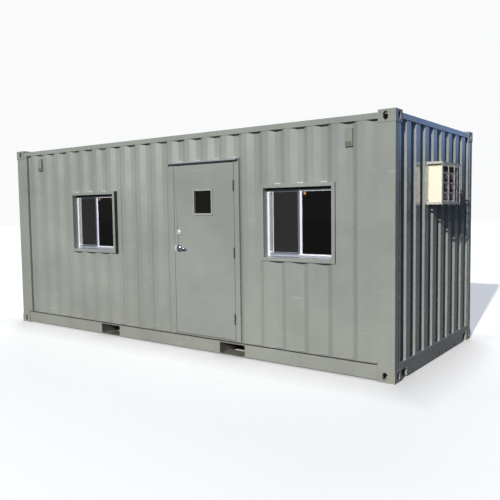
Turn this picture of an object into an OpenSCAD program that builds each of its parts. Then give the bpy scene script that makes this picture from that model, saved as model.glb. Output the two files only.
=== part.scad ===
// Portable site cabin: an ISO 20 ft steel box fitted out as a site office.
// Origin: centre of the footprint on the ground. +X runs along the length to
// the end that carries the air conditioner, the door side faces -Y, +Z is up.

/* [Overall] */
// Length over the corner castings
length = 6058; // [6000:1:12200]
// Width over the corner castings
width = 2438; // [2000:1:3000]
// Height from the ground to the top of the corner castings
height = 2591; // [2591:1:3200]

/* [Corner castings] */
// Casting size along the cabin
casting_l = 178; // [170:1:220]
// Casting size across the cabin
casting_w = 162; // [150:1:200]
// Casting height
casting_h = 118; // [110:1:145]
// Thickness of the casting walls that carry the side and end holes
casting_outer_wall = 30; // [20:1:36]
// Thickness of the casting walls that are welded to the frame
casting_inner_wall = 12; // [8:1:14]
// Thickness of the top and bottom plates of a casting
casting_plate = 28; // [20:1:32]
// Distance from the end of the casting to the middle of its slot
slot_inset_x = 102.5; // [95:0.5:105]
// Distance from the side of the casting to the middle of its slot
slot_inset_y = 89.5; // [80:0.5:92]
// Length of a twist lock slot
slot_l = 124.5; // [100:0.5:126]
// Width of a twist lock slot
slot_w = 63.5; // [50:0.5:66]
// Width of the hole in the long side of a casting
side_hole_w = 51; // [40:1:60]
// Width of the hole in the end of a casting
end_hole_w = 63.5; // [50:0.5:66]
// Height of the side and end holes
hole_h = 79; // [70:1:84]

/* [Frame] */
// How far the frame stands back from the faces of the castings
setback = 4; // [2:1:10]
// Corner post size across the cabin
post_w = 91; // [70:1:120]
// Extra width of the posts along the cabin at the left end
post_extra = 61; // [30:1:80]
// Height of the underside of the bottom rails
rail_z = 17; // [12:1:24]
// Height of a bottom rail
rail_h = 162; // [155:1:195]
// Plate thickness of the bottom rails
rail_t = 6; // [4:1:8]
// Depth of the groove under the wall sheets
groove_d = 24; // [16:1:30]
// Height of the groove with the flange above it
groove_h = 20; // [14:1:20]
// Inward reach of the top flange from the back of the groove
flange_in = 25; // [16:1:40]
// Depth of a bottom end rail along the cabin
end_rail_t = 62; // [50:1:80]
// Width of the notch under each end of a bottom end rail
notch_w = 145; // [100:1:180]
// Height of that notch
notch_h = 83; // [60:1:95]
// Size of the square top rails
top_rail = 60; // [50:1:75]
// How far the top rails lie below the tops of the castings
top_drop = 23; // [10:1:30]

/* [Underframe] */
// Distance between the middles of the two fork pockets
pocket_spacing = 2077; // [1900:1:2200]
// Offset of the pair of fork pockets from the middle, towards +X
pocket_shift = 33; // [-60:1:60]
// Clear width of a fork pocket
pocket_w = 354; // [300:1:430]
// Clear height of a fork pocket
pocket_h = 124; // [95:1:124]
// Reach of the strap that closes the bottom of a pocket at each end
strap_l = 200; // [150:5:300]
// Height of a cross member
cross_h = 122; // [100:1:140]
// Flange width of a cross member
cross_w = 45; // [35:1:60]
// Distance between cross members
cross_pitch = 290; // [250:5:340]
// Thickness of the plywood floor
floor_t = 28; // [21:1:36]

/* [Walls and roof] */
// Sheet thickness of the walls and the roof
sheet_t = 2; // [1.6:0.1:3]
// Distance of the side sheets from the casting faces
side_setback = 6; // [4:1:12]
// Corrugation pitch of the side walls
side_pitch = 279; // [220:1:340]
// Offset of the recesses of the side walls from the middle, towards +X
side_shift = 26; // [-40:1:40]
// Corrugation depth of the side walls
side_depth = 36; // [24:1:44]
// Width of the flat in each side wall recess
side_flat = 70; // [50:1:90]
// Width of each sloping face of the side walls
side_slope = 68; // [40:1:80]
// Distance of the end sheets from the casting faces
end_setback = 8; // [6:1:14]
// Corrugation pitch of the end walls
end_pitch = 250; // [200:1:300]
// Corrugation depth of the end walls
end_depth = 46; // [30:1:48]
// Width of the flat in each end wall recess
end_flat = 104; // [80:1:120]
// Width of each sloping face of the end walls
end_slope = 18; // [12:1:30]
// Corrugation pitch of the roof
roof_pitch = 209; // [180:1:250]
// Corrugation depth of the roof
roof_depth = 20; // [12:1:24]
// Width of the flat in each roof recess
roof_flat = 91; // [60:1:110]
// Width of each sloping face of the roof
roof_slope = 13.5; // [8:0.5:20]
// Thickness of the insulated lining panels
lining_t = 75; // [60:1:100]
// Joint between two lining panels
lining_joint = 3; // [2:1:6]
// Thickness of the ceiling panel
ceiling_t = 30; // [20:1:50]
// Free height between the ceiling and the top rails
ceiling_drop = 58; // [50:1:80]

/* [Windows] */
// Clear width of each window opening
window_w = 826; // [700:1:900]
// Clear height of each window opening
window_h = 740; // [600:1:820]
// Height of the window openings above the ground
window_z = 1160; // [1000:1:1200]
// Distance from the left end to the middle of the left window
left_window_in = 1732.5; // [1700:0.5:1800]
// Distance from the right end to the middle of the right window
right_window_in = 1080.5; // [1000:0.5:1085]
// Face width of the steel surround
surround_w = 38; // [30:1:45]
// How far the surround stands proud of the side sheet
surround_proud = 16; // [2:1:18]
// Setback of the window frame in the surround
reveal = 81; // [60:1:83]
// Face width of the window frame
frame_w = 28; // [20:1:35]
// Depth of the window frame
frame_d = 43; // [40:1:46]
// Thickness of a sash
sash_t = 18; // [14:1:19]
// Face width of the rails of a sliding sash
stile_w = 32; // [25:1:40]
// Face width of the outer stile of a sliding sash
lead_w = 52; // [32:1:60]
// Face width of the bead that holds the fixed pane
bead_w = 13; // [10:1:20]
// Width of the overlapping middle stiles
meeting_w = 47; // [40:1:55]
// Thickness of the panes
pane_t = 6; // [4:1:8]

/* [Door] */
// Width of the door leaf
leaf_w = 908; // [800:1:930]
// Height of the door leaf
leaf_h = 2007; // [1900:1:2030]
// Thickness of the door leaf
leaf_t = 44; // [40:1:48]
// Height of the underside of the leaf above the bottom rail
leaf_lift = 17; // [15:1:24]
// Place of the left edge of the leaf
leaf_x = 224; // [150:1:230]
// Gap between the leaf and its frame
leaf_gap = 5; // [5:0.5:8]
// Face width of the door jamb on the lock side
jamb_w = 87; // [70:1:90]
// Face width of the door jamb on the hinge side
hinge_jamb_w = 66; // [60:1:80]
// Height of the door frame head above the leaf gap
head_h = 41; // [30:1:60]
// Width of the stop behind the leaf
stop_w = 20; // [14:1:30]
// How far the door frame stands proud of the side sheet
frame_proud = 8; // [2:1:8]
// Height of the drip cap
drip_h = 25; // [20:1:32]
// Reach of the drip cap from the door frame
drip_out = 40; // [25:1:50]
// Plate thickness of the drip cap
drip_t = 3; // [2:1:5]
// Width of the glazed opening in the leaf
lite_w = 256; // [200:1:300]
// Height of the glazed opening in the leaf
lite_h = 260; // [200:1:320]
// Distance of the middle of the glazed opening from the left edge of the leaf
lite_in = 453.5; // [430:0.5:480]
// Height of the middle of the glazed opening above the leaf's underside
lite_up = 1571; // [1500:1:1650]
// Face width of the trim around the glazed opening
lite_trim = 24; // [18:1:32]
// Thickness of that trim
lite_trim_t = 9; // [6:1:12]
// Wall of the sleeve that lines the glazed opening
lite_sleeve = 11; // [9:1:14]

/* [Lock and hinges] */
// Distance of the lock centre line from the left edge of the leaf
lock_in = 70; // [60:1:90]
// Height of the lever above the leaf's underside
lever_up = 1023; // [950:1:1060]
// Height of the deadbolt above the leaf's underside
bolt_up = 1218; // [1190:1:1260]
// Radius of the round rose behind the lever
rose_r = 44; // [30:0.5:46]
// Thickness of the rose
rose_t = 12; // [8:1:16]
// Radius of the lever's neck
neck_r = 12; // [10:0.5:14]
// Running clearance of the neck and of the hinge pins
pin_gap = 0.3; // [0.2:0.05:0.5]
// Reach of the lever from the leaf
lever_out = 62; // [50:1:75]
// Length of the lever from its turning axis
lever_l = 122; // [90:1:140]
// Height of the lever's bar
lever_h = 20; // [14:1:26]
// Thickness of the lever's bar
lever_t = 13; // [10:1:18]
// Radius of the deadbolt collar
bolt_r = 30; // [22:0.5:34]
// Thickness of the deadbolt collar
bolt_t = 16; // [10:1:22]
// Width of the latch guard
guard_w = 20; // [8:1:24]
// Height of the latch guard
guard_h = 76; // [60:1:84]
// Height of a hinge
hinge_h = 114; // [90:1:140]
// Radius of a hinge knuckle
knuckle_r = 8; // [6:0.5:10]
// Radius of a hinge pin
pin_r = 4; // [3:0.5:5]
// Distance of a hinge axis from the face of the leaf
hinge_out = 9; // [8.5:0.5:12]
// Thickness of a hinge plate
plate_t = 2.2; // [1.8:0.1:2.3]
// Reach of a hinge plate into the edge of the leaf
plate_in = 35; // [28:1:38]
// Height of the lower hinge above the leaf's underside
hinge_up_low = 239; // [200:1:300]
// Height of the middle hinge above the leaf's underside
hinge_up_mid = 993; // [900:1:1050]
// Height of the upper hinge above the leaf's underside
hinge_up_top = 1747; // [1700:1:1780]

/* [Air conditioner and ventilators] */
// Width of the air conditioner across the cabin
ac_w = 530; // [450:1:560]
// Height of the air conditioner
ac_h = 400; // [350:1:440]
// Height of its underside above the ground
ac_z = 1722; // [1500:1:1800]
// Place of its middle across the cabin
ac_y = -75; // [-200:1:200]
// Reach of the air conditioner outside the end wall castings
ac_out = 134; // [100:1:150]
// Reach of the air conditioner inside the lining
ac_in = 110; // [60:1:200]
// Face width of the rim around the coil
ac_rim = 24; // [15:1:40]
// Depth of the recess in front of the coil
coil_in = 20; // [10:1:40]
// Thickness of the coil
coil_t = 14; // [8:1:18]
// Clear space between the housing and its cage
cage_gap = 15; // [10:1:30]
// Width of a cage bar
cage_bar = 25; // [18:1:32]
// Thickness of a cage bar
cage_t = 6; // [4:1:8]
// Width of the thin cross bars of the cage
cage_thin = 12; // [8:1:16]
// Width of a ventilator hood
hood_w = 80; // [70:1:88]
// Height of a ventilator hood
hood_h = 175; // [120:1:200]
// Depth of a ventilator hood from the bottom of the wall recess
hood_d = 24; // [18:1:36]
// Distance of the hoods below the top rails
hood_drop = 58; // [40:1:120]
// Plate thickness of a hood
hood_t = 3; // [2:1:4]

/* [Hidden] */
$fn = 48;

// Half sizes and the planes that everything is set out from
half_l = length / 2;
half_w = width / 2;
in_x = half_l - casting_l;              // inner faces of castings and posts
in_y = half_w - casting_w;              // inner faces of castings across
left_x = post_extra - in_x;             // inner faces of the wide left posts
post_y = half_w - setback - post_w;     // inner faces of the posts across
base_z = rail_z + rail_h;               // top of the bottom rails
floor_z = base_z + floor_t;             // top of the floor
rail_top = height - top_drop;           // top of the top rails
wall_top = rail_top - top_rail;         // top of the wall sheets
ceiling_z = wall_top - ceiling_drop - ceiling_t;
side_face = half_w - side_setback;      // outer plane of the side sheets
side_in = side_face - side_depth - sheet_t;
end_face = half_l - end_setback;        // outer plane of the end sheets
end_in = end_face - end_depth - sheet_t;
room_y = side_in - lining_t;            // inner faces of the side linings
room_x = end_in - lining_t;             // inner faces of the end linings
groove_y = half_w - setback - groove_d; // back of the groove under the walls
flange_y = groove_y - rail_t - flange_in; // inner edges of the top flanges

// Middles of the fork pockets
pocket_xs = [for (s = [-1, 1]) pocket_shift + s * pocket_spacing / 2];

// Windows
left_window_x = left_window_in - half_l;
right_window_x = half_l - right_window_in;
window_xs = [left_window_x, right_window_x];
window_top = window_z + window_h;
surround_y = side_face + surround_proud;
frame_y = surround_y - reveal;
panel_half = window_w / 2 + surround_w;
sash_play = (frame_d - 2 * sash_t) / 3;
fixed_y = frame_y - sash_play;
sliding_y = frame_y - 2 * sash_play - sash_t;

// Door
leaf_z = base_z + leaf_lift;
leaf_face = side_face + frame_proud;
leaf_right = leaf_x + leaf_w;
jamb_in_left = leaf_x - leaf_gap;
jamb_in_right = leaf_right + leaf_gap;
door_left = jamb_in_left - jamb_w;
door_right = jamb_in_right + hinge_jamb_w;
head_z = leaf_z + leaf_h + leaf_gap;
door_top = head_z + head_h;
stop_y = leaf_face - leaf_t - leaf_gap;
floor_y = min(stop_y, side_in - 1);
lite_x = leaf_x + lite_in;
lite_z = leaf_z + lite_up;
lock_x = leaf_x + lock_in;
lever_z = leaf_z + lever_up;
bolt_z = leaf_z + bolt_up;
hinge_x = leaf_right + leaf_gap / 2;
hinge_y = leaf_face + hinge_out;
hinge_zs = [for (up = [hinge_up_low, hinge_up_mid, hinge_up_top]) leaf_z + up];
knuckle_h = hinge_h / 5;

// Air conditioner, cage and hoods
ac_face = half_l + ac_out;
cage_face = ac_face + cage_gap + cage_t;
cage_half = ac_w / 2 + cage_gap + cage_bar;
cage_z0 = ac_z - cage_gap - cage_t;
cage_z1 = ac_z + ac_h + cage_gap + cage_t;
hood_far = side_pitch * floor((in_x - 150 - side_shift) / side_pitch);
hood_xs = [for (s = [-1, 1]) side_shift + s * hood_far];
hood_z = wall_top - hood_drop - hood_h;
hood_back = side_face - side_depth;
hood_seat = 6;

paint = [0.60, 0.62, 0.59];
dark_paint = [0.45, 0.46, 0.44];
alu = [0.78, 0.79, 0.81];
cream = [0.95, 0.93, 0.84];

// A block between two corners
module block(a, b) {
    translate([min(a.x, b.x), min(a.y, b.y), min(a.z, b.z)])
        cube([abs(b.x - a.x), abs(b.y - a.y), abs(b.z - a.z)]);
}

// The children and their mirror image across the middle of the length
module both_ends() {
    children();
    mirror([1, 0, 0]) children();
}

// The children and their mirror image across the middle of the width
module both_sides() {
    children();
    mirror([0, 1, 0]) children();
}

// An upright or flat slot with round ends, centred, with its long way along Y
module slot_shape(w, h) {
    square([w, h - w], center = true);
    for (s = [-1, 1]) translate([0, s * (h - w) / 2]) circle(d = w);
}

// Depth of a corrugation at place s, for a profile whose recesses are centred
// on whole multiples of the pitch
function sheet_depth(s, pitch, depth, flat, slope) =
    let (d = abs(s - pitch * round(s / pitch)))
    d <= flat / 2 ? depth
    : d >= flat / 2 + slope ? 0
    : depth * (1 - (d - flat / 2) / slope);

// Places between s0 and s1 where the profile bends
function bends(s0, s1, pitch, flat, slope) =
    [for (k = [floor(s0 / pitch) - 1 : ceil(s1 / pitch) + 1])
        for (d = [-flat / 2 - slope, -flat / 2, flat / 2, flat / 2 + slope])
            let (s = k * pitch + d)
            if (s > s0 + 0.01 && s < s1 - 0.01) s];

function reversed(list) = [for (i = [len(list) - 1 : -1 : 0]) list[i]];

// One face of a corrugated sheet from s0 to s1, moved back by the offset
function sheet_line(s0, s1, pitch, depth, flat, slope, back) =
    let (grow = back * tan(atan(depth / slope) / 2),
         wide = flat + 2 * grow)
    [for (s = concat([s0], bends(s0, s1, pitch, wide, slope), [s1]))
        [s, -sheet_depth(s, pitch, depth, wide, slope) - back]];

// A corrugated sheet: it runs along X, its outer plane is at Y = 0 and it is
// as high as given
module corrugated(s0, s1, high, pitch, depth, flat, slope) {
    outer = sheet_line(s0, s1, pitch, depth, flat, slope, 0);
    inner = sheet_line(s0, s1, pitch, depth, flat, slope, sheet_t);
    linear_extrude(high) polygon(concat(outer, reversed(inner)));
}

// A piece of the wall on the +Y side, from x0 to x1 and from z0 to z1
module side_sheet(x0, x1, z0, z1) {
    translate([side_shift, side_face, z0])
        corrugated(x0 - side_shift, x1 - side_shift, z1 - z0, side_pitch, side_depth,
                   side_flat, side_slope);
}

// A piece of the front wall, from x0 to x1 and from z0 to z1
module front_sheet(x0, x1, z0, z1) {
    mirror([0, 1, 0]) side_sheet(x0, x1, z0, z1);
}

// An end wall at the +X end, trimmed round the top castings
module end_sheet() {
    difference() {
        translate([end_face, 0, base_z]) rotate([0, 0, -90])
            corrugated(-post_y, post_y, wall_top - base_z, end_pitch, end_depth,
                       end_flat, end_slope);
        both_sides() block([in_x, in_y, height - casting_h],
                           [half_l, half_w, height]);
    }
}

// One bottom casting at the +X +Y corner, hollow, with its three holes
module casting() {
    slot_x = half_l - slot_inset_x;
    slot_y = half_w - slot_inset_y;
    mid_z = casting_h / 2;
    difference() {
        block([in_x, in_y, 0], [half_l, half_w, casting_h]);
        block([in_x + casting_inner_wall, in_y + casting_inner_wall, casting_plate],
              [half_l - casting_outer_wall, half_w - casting_outer_wall,
               casting_h - casting_inner_wall]);
        translate([slot_x, slot_y, -1]) rotate([0, 0, 90])
            linear_extrude(casting_plate + 2) slot_shape(slot_w, slot_l);
        translate([slot_x, half_w + 1, mid_z]) rotate([90, 0, 0])
            linear_extrude(casting_outer_wall + 2) slot_shape(side_hole_w, hole_h);
        translate([half_l + 1, slot_y, mid_z]) rotate([0, -90, 0])
            linear_extrude(casting_outer_wall + 2) rotate([0, 0, 90])
                slot_shape(end_hole_w, hole_h);
    }
}

module bottom_corner_castings() {
    color(paint) both_ends() both_sides() casting();
}

module top_corner_castings() {
    color(paint) translate([0, 0, height]) mirror([0, 0, 1])
        both_ends() both_sides() casting();
}

module corner_posts() {
    color(paint) both_sides() {
        both_ends() block([in_x, post_y, casting_h],
                          [half_l - setback, half_w - setback, height - casting_h]);
        block([-in_x, post_y, base_z], [left_x, half_w - setback, wall_top]);
    }
}

// A bottom side rail on the +Y side: a channel with its back outwards and a
// groove along the top, cut for the fork pockets
module bottom_rail() {
    face = half_w - setback;
    shelf = base_z - groove_h;
    mouth = pocket_w / 2 + rail_t;
    difference() {
        union() {
            block([-in_x, face - rail_t, rail_z], [in_x, face, shelf]);
            block([-in_x, flange_y, rail_z], [in_x, face, rail_z + rail_t]);
            block([-in_x, groove_y - rail_t, shelf - rail_t], [in_x, face, shelf]);
            block([-in_x, groove_y - rail_t, shelf - rail_t], [in_x, groove_y, base_z]);
            block([-in_x, flange_y, base_z - rail_t], [in_x, face, base_z]);
        }
        for (x = pocket_xs)
            block([x - mouth, flange_y - 1, rail_z - 1],
                  [x + mouth, face + 1, rail_z + pocket_h + 2 * rail_t]);
    }
}

module front_bottom_rail() {
    color(paint) mirror([0, 1, 0]) bottom_rail();
}

module back_bottom_rail() {
    color(paint) bottom_rail();
}

module bottom_end_rails() {
    x1 = half_l - setback;
    color(paint) both_ends() difference() {
        union() {
            block([x1 - end_rail_t, -in_y, rail_z], [x1, in_y, base_z]);
            block([x1 - end_rail_t, -post_y, casting_h], [x1, post_y, base_z]);
        }
        both_sides() block([x1 - end_rail_t - 1, in_y - notch_w, rail_z - 1],
                           [x1 + 1, in_y, rail_z + notch_h]);
    }
}

module top_side_rails() {
    color(paint) both_sides()
        block([-in_x, half_w - setback - top_rail, wall_top],
              [in_x, half_w - setback, rail_top]);
}

module top_end_rails() {
    x1 = half_l - setback;
    color(paint) both_ends()
        block([x1 - top_rail, -in_y, wall_top], [x1, in_y, rail_top]);
}

// Channels across the cabin that carry the floor, left out at the fork pockets
module cross_members() {
    last = floor((in_x - 40) / cross_pitch);
    clear = pocket_w / 2 + 2 * rail_t;
    color(dark_paint)
        for (k = [-last : last])
            let (x = k * cross_pitch, off = min([for (p = pocket_xs) abs(x - p)]))
            if (off > clear + cross_w) cross_member(x);
}

module cross_member(x) {
    z0 = base_z - cross_h;
    t = 4;
    translate([x, flange_y, z0]) rotate([90, 0, 0]) linear_extrude(2 * flange_y)
        polygon([[0, 0], [cross_w, 0], [cross_w, t], [t, t], [t, cross_h - t],
                 [cross_w, cross_h - t], [cross_w, cross_h], [0, cross_h]]);
}

// Two tunnels for the forks of a lift truck, open below but for their straps
module fork_pockets() {
    face = half_w - setback;
    out = pocket_w / 2 + rail_t;
    top = rail_z + rail_t + pocket_h;
    color(dark_paint) for (x = pocket_xs) translate([x, 0, 0]) {
        block([-out, -face, top], [out, face, top + rail_t]);
        for (m = [-1, 1])
            block([m * out, -face, rail_z], [m * (out - rail_t), face, top]);
        both_sides() block([-out, face - strap_l, rail_z], [out, face, rail_z + rail_t]);
    }
}

module floor() {
    color("tan") {
        block([left_x, -floor_y, base_z], [in_x, floor_y, floor_z]);
        block([-end_in, -post_y, base_z], [end_in, post_y, floor_z]);
    }
}

// Roof sheeting from x0 to x1, reaching y1 to either side
module roof_sheet(x0, x1, y1) {
    translate([0, y1, rail_top - 2]) rotate([90, 0, 0])
        corrugated(x0, x1, 2 * y1, roof_pitch, roof_depth, roof_flat, roof_slope);
}

module roof() {
    color(paint) roof_sheet(-in_x, in_x, half_w - setback - top_rail);
}

// The narrow strips of roof between the castings
module roof_ends() {
    color(paint) both_ends() roof_sheet(in_x, half_l - setback - top_rail, in_y);
}

module ceiling() {
    color("white")
        block([-end_in, -post_y, ceiling_z], [end_in, post_y, ceiling_z + ceiling_t]);
}

module front_wall_left() {
    color(paint) front_sheet(left_x, left_window_x - panel_half, base_z, wall_top);
}

module front_wall_middle() {
    color(paint) front_sheet(left_window_x + panel_half, door_left, base_z, wall_top);
}

module front_wall_by_door() {
    color(paint) front_sheet(door_right, right_window_x - panel_half, base_z, wall_top);
}

module front_wall_right() {
    color(paint) front_sheet(right_window_x + panel_half, in_x, base_z, wall_top);
}

module wall_over_door() {
    color(paint) front_sheet(door_left, door_right, door_top, wall_top);
}

// The sheet below and above one window
module window_panels(x) {
    color(paint) {
        front_sheet(x - panel_half, x + panel_half, base_z, window_z - surround_w);
        front_sheet(x - panel_half, x + panel_half, window_top + surround_w, wall_top);
    }
}

module left_window_panels() {
    window_panels(left_window_x);
}

module right_window_panels() {
    window_panels(right_window_x);
}

module back_wall() {
    color(paint) side_sheet(left_x, in_x, base_z, wall_top);
}

module left_end_wall() {
    color(paint) mirror([1, 0, 0]) end_sheet();
}

// The hole for the air conditioner's sleeve, from x0 to x1
module ac_hole(x0, x1, wall) {
    block([x0, ac_y - ac_w / 2 - wall, ac_z - wall],
          [x1, ac_y + ac_w / 2 + wall, ac_z + ac_h + wall]);
}

module right_end_wall() {
    color(paint) difference() {
        end_sheet();
        ac_hole(end_in - 1, half_l, cage_gap);
    }
}

// One front lining panel, from x0 to x1 and from z0 to z1
module lining_panel(x0, x1, z0, z1) {
    block([x0, -room_y, z0], [x1, -side_in, z1]);
}

// The lip of the lining behind the corner post at one end
module lining_lip(side) {
    from = side > 0 ? in_x - 1 : left_x + 1;
    block([from, -room_y, floor_z], [side * room_x, -post_y, ceiling_z]);
}

module front_lining() {
    j = lining_joint / 2;
    color("white") {
        lining_panel(left_x, left_window_x - panel_half - j, floor_z, ceiling_z);
        lining_lip(-1);
        for (x = window_xs)
            for (zz = [[floor_z, window_z - surround_w],
                       [window_top + surround_w, ceiling_z]])
                lining_panel(x - panel_half + j, x + panel_half - j, zz[0], zz[1]);
        lining_panel(left_window_x + panel_half + j, door_left - j, floor_z, ceiling_z);
        lining_panel(door_left + j, door_right - j, door_top, ceiling_z);
        lining_panel(door_right + j, right_window_x - panel_half - j, floor_z, ceiling_z);
        lining_panel(right_window_x + panel_half + j, in_x, floor_z, ceiling_z);
        lining_lip(1);
    }
}

module back_lining() {
    color("white") mirror([0, 1, 0]) {
        lining_panel(left_x, in_x, floor_z, ceiling_z);
        lining_lip(-1);
        lining_lip(1);
    }
}

module end_linings() {
    color("white") difference() {
        both_ends() block([room_x, -post_y, floor_z], [end_in, post_y, ceiling_z]);
        ac_hole(room_x - 1, end_in + 1, cage_gap);
    }
}

// Uprights beside an opening, full height, from y0 back to y1
module uprights(x, w, wide, z0, z1, y0, y1) {
    for (s = [-1, 1])
        block([x + s * w / 2, -y0, z0], [x + s * (w / 2 - wide), -y1, z1]);
}

module window_surround_jambs() {
    color(paint) for (x = window_xs)
        uprights(x, 2 * panel_half, surround_w, window_z - surround_w,
                 window_top + surround_w, surround_y, room_y);
}

module window_surround_rails() {
    color(paint) for (x = window_xs) {
        block([x - window_w / 2, -surround_y, window_z - surround_w],
              [x + window_w / 2, -room_y, window_z]);
        block([x - window_w / 2, -surround_y, window_top],
              [x + window_w / 2, -room_y, window_top + surround_w]);
    }
}

module window_frame_jambs() {
    color(alu) for (x = window_xs)
        uprights(x, window_w, frame_w, window_z, window_top, frame_y, frame_y - frame_d);
}

// Head and sill of each frame; the sill runs out to the surround as a slope
module window_frame_rails() {
    half = window_w / 2 - frame_w;
    rise = 14;
    color(alu) for (x = window_xs) {
        block([x - half, -frame_y, window_top - frame_w],
              [x + half, -frame_y + frame_d, window_top]);
        translate([x - half, 0, window_z]) rotate([90, 0, 90]) linear_extrude(2 * half)
            polygon([[-surround_y + 4, 0], [-frame_y + frame_d, 0],
                     [-frame_y + frame_d, frame_w], [-frame_y, frame_w],
                     [-frame_y, rise], [-surround_y + 4, 3]]);
    }
}

// One sash from x0 to x1 whose outer face lies at depth y, with the face
// widths of its left stile, its right stile and its rails
module sash(x0, x1, y, left, right, rail) {
    z0 = window_z + frame_w;
    z1 = window_top - frame_w;
    difference() {
        block([x0, -y, z0], [x1, -y + sash_t, z1]);
        block([x0 + left, -y - 1, z0 + rail], [x1 - right, -y + sash_t + 1, z1 - rail]);
    }
}

// The right half is glazed in thin beads, outside the sliding one
module fixed_sashes() {
    color(alu) for (x = window_xs)
        sash(x - meeting_w / 2, x + window_w / 2 - frame_w, fixed_y, meeting_w, bead_w,
             bead_w);
}

module sliding_sashes() {
    color(alu) for (x = window_xs)
        sash(x - window_w / 2 + frame_w, x + meeting_w / 2, sliding_y, lead_w,
             meeting_w, stile_w);
}

// One pane in the middle of the thickness of its sash
module pane(x0, x1, y, rail) {
    off = (sash_t - pane_t) / 2;
    block([x0, -y + off, window_z + frame_w + rail],
          [x1, -y + off + pane_t, window_top - frame_w - rail]);
}

module window_panes() {
    half = window_w / 2 - frame_w;
    color([0.1, 0.12, 0.12]) for (x = window_xs) {
        pane(x - half + lead_w, x - meeting_w / 2, sliding_y, stile_w);
        pane(x + meeting_w / 2, x + half - bead_w, fixed_y, bead_w);
    }
}

// Jambs with a stop behind the leaf; they stand on the floor inside
module door_jambs() {
    color(paint) difference() {
        for (s = [[door_left, jamb_in_left, 1], [door_right, jamb_in_right, -1]]) {
            block([s[0], -leaf_face, base_z], [s[1], -room_y, door_top]);
            block([s[1], -stop_y, base_z], [s[1] + s[2] * stop_w, -room_y, head_z]);
        }
        block([door_left - 1, -floor_y, base_z - 1],
              [door_right + 1, -room_y + 1, floor_z]);
    }
}

module door_head() {
    color(paint) {
        block([jamb_in_left, -leaf_face, head_z], [jamb_in_right, -room_y, door_top]);
        block([jamb_in_left + stop_w, -stop_y, head_z - stop_w],
              [jamb_in_right - stop_w, -room_y, head_z + 1]);
    }
}

module threshold() {
    color(alu) block([jamb_in_left, -leaf_face, base_z],
                     [jamb_in_right, -floor_y, leaf_z - leaf_gap]);
}

// A bent strip over the door: a back plate, a sloping top and a front lip
module drip_cap() {
    over = 3;
    face = leaf_face;
    color(alu) translate([door_left + over, 0, door_top]) rotate([90, 0, 90])
        linear_extrude(door_right - door_left - 2 * over)
        polygon([[-face, 0], [-face, -drip_h], [-face - drip_t, -drip_h],
                 [-face - drip_t, -drip_t], [-face - drip_out + drip_t, -drip_t - 6],
                 [-face - drip_out + drip_t, -drip_h], [-face - drip_out, -drip_h],
                 [-face - drip_out, -6]]);
}

module door_leaf() {
    hole_w = lite_w + 2 * lite_sleeve;
    hole_h2 = lite_h + 2 * lite_sleeve;
    color(paint) difference() {
        block([leaf_x, -leaf_face, leaf_z],
              [leaf_right, -leaf_face + leaf_t, leaf_z + leaf_h]);
        block([lite_x - hole_w / 2, -leaf_face - 1, lite_z - hole_h2 / 2],
              [lite_x + hole_w / 2, -leaf_face + leaf_t + 1, lite_z + hole_h2 / 2]);
        translate([lock_x, 0, lever_z]) rotate([90, 0, 0])
            cylinder(r = neck_r + 2, h = 2 * leaf_face);
        hinge_pockets();
    }
}

// Recesses in the leaf's edge for the hinge plates
module hinge_pockets() {
    for (z = hinge_zs)
        block([leaf_right - plate_t, -leaf_face - 1, z - hinge_h / 2 - 0.5],
              [leaf_right + 1, -leaf_face + plate_in + 1, z + hinge_h / 2 + 0.5]);
}

// Rectangular ring around the glazed opening, from y0 to y1
module lite_ring(wide, y0, y1) {
    difference() {
        block([lite_x - lite_w / 2 - wide, y0, lite_z - lite_h / 2 - wide],
              [lite_x + lite_w / 2 + wide, y1, lite_z + lite_h / 2 + wide]);
        block([lite_x - lite_w / 2, y0 - 1, lite_z - lite_h / 2],
              [lite_x + lite_w / 2, y1 + 1, lite_z + lite_h / 2]);
    }
}

module door_lite_trim() {
    back = -leaf_face + leaf_t;
    color(paint) difference() {
        union() {
            lite_ring(lite_trim, -leaf_face - lite_trim_t, -leaf_face);
            lite_ring(lite_sleeve, -leaf_face - 1, back + 1);
            lite_ring(lite_trim, back, back + lite_trim_t);
        }
        lite_glass(5);
    }
}

// The pane of the door, held by its edge in the sleeve
module lite_glass(edge) {
    mid = -leaf_face + leaf_t / 2;
    block([lite_x - lite_w / 2 - edge, mid - pane_t / 2, lite_z - lite_h / 2 - edge],
          [lite_x + lite_w / 2 + edge, mid + pane_t / 2, lite_z + lite_h / 2 + edge]);
}

module door_lite_pane() {
    color([0.1, 0.12, 0.12]) lite_glass(5);
}

module latch_guard() {
    color("silver")
        block([leaf_x + 4, -leaf_face - 3, lever_z - guard_h / 2],
              [leaf_x + 4 + guard_w, -leaf_face, lever_z + guard_h / 2]);
}

// Two stepped discs, outside and inside, bored for the lever's neck
module lever_roses() {
    color("silver") translate([lock_x, 0, lever_z]) rotate([90, 0, 0])
        difference() {
            for (y = [leaf_face, leaf_face - leaf_t - rose_t]) translate([0, 0, y])
                cylinder(r = rose_r, h = rose_t);
            translate([0, 0, leaf_face - leaf_t - rose_t - 1])
                cylinder(r = neck_r + pin_gap, h = leaf_t + 2 * rose_t + 2);
        }
}

// Both levers and the shaft that joins them, one piece in use
module door_lever() {
    y0 = leaf_face + lever_out;
    y1 = leaf_face - leaf_t - lever_out;
    color("silver") translate([lock_x, 0, lever_z]) {
        translate([0, -y1, 0]) rotate([90, 0, 0]) cylinder(r = neck_r, h = y0 - y1);
        for (y = [y0, y1 + lever_t])
            block([0, -y, -lever_h / 2], [lever_l - lever_h / 2, -y + lever_t, lever_h / 2]);
        for (y = [y1, y0 - lever_t])
            translate([lever_l - lever_h / 2, -y, 0]) rotate([90, 0, 0])
                cylinder(r = lever_h / 2, h = lever_t);
    }
}

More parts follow.
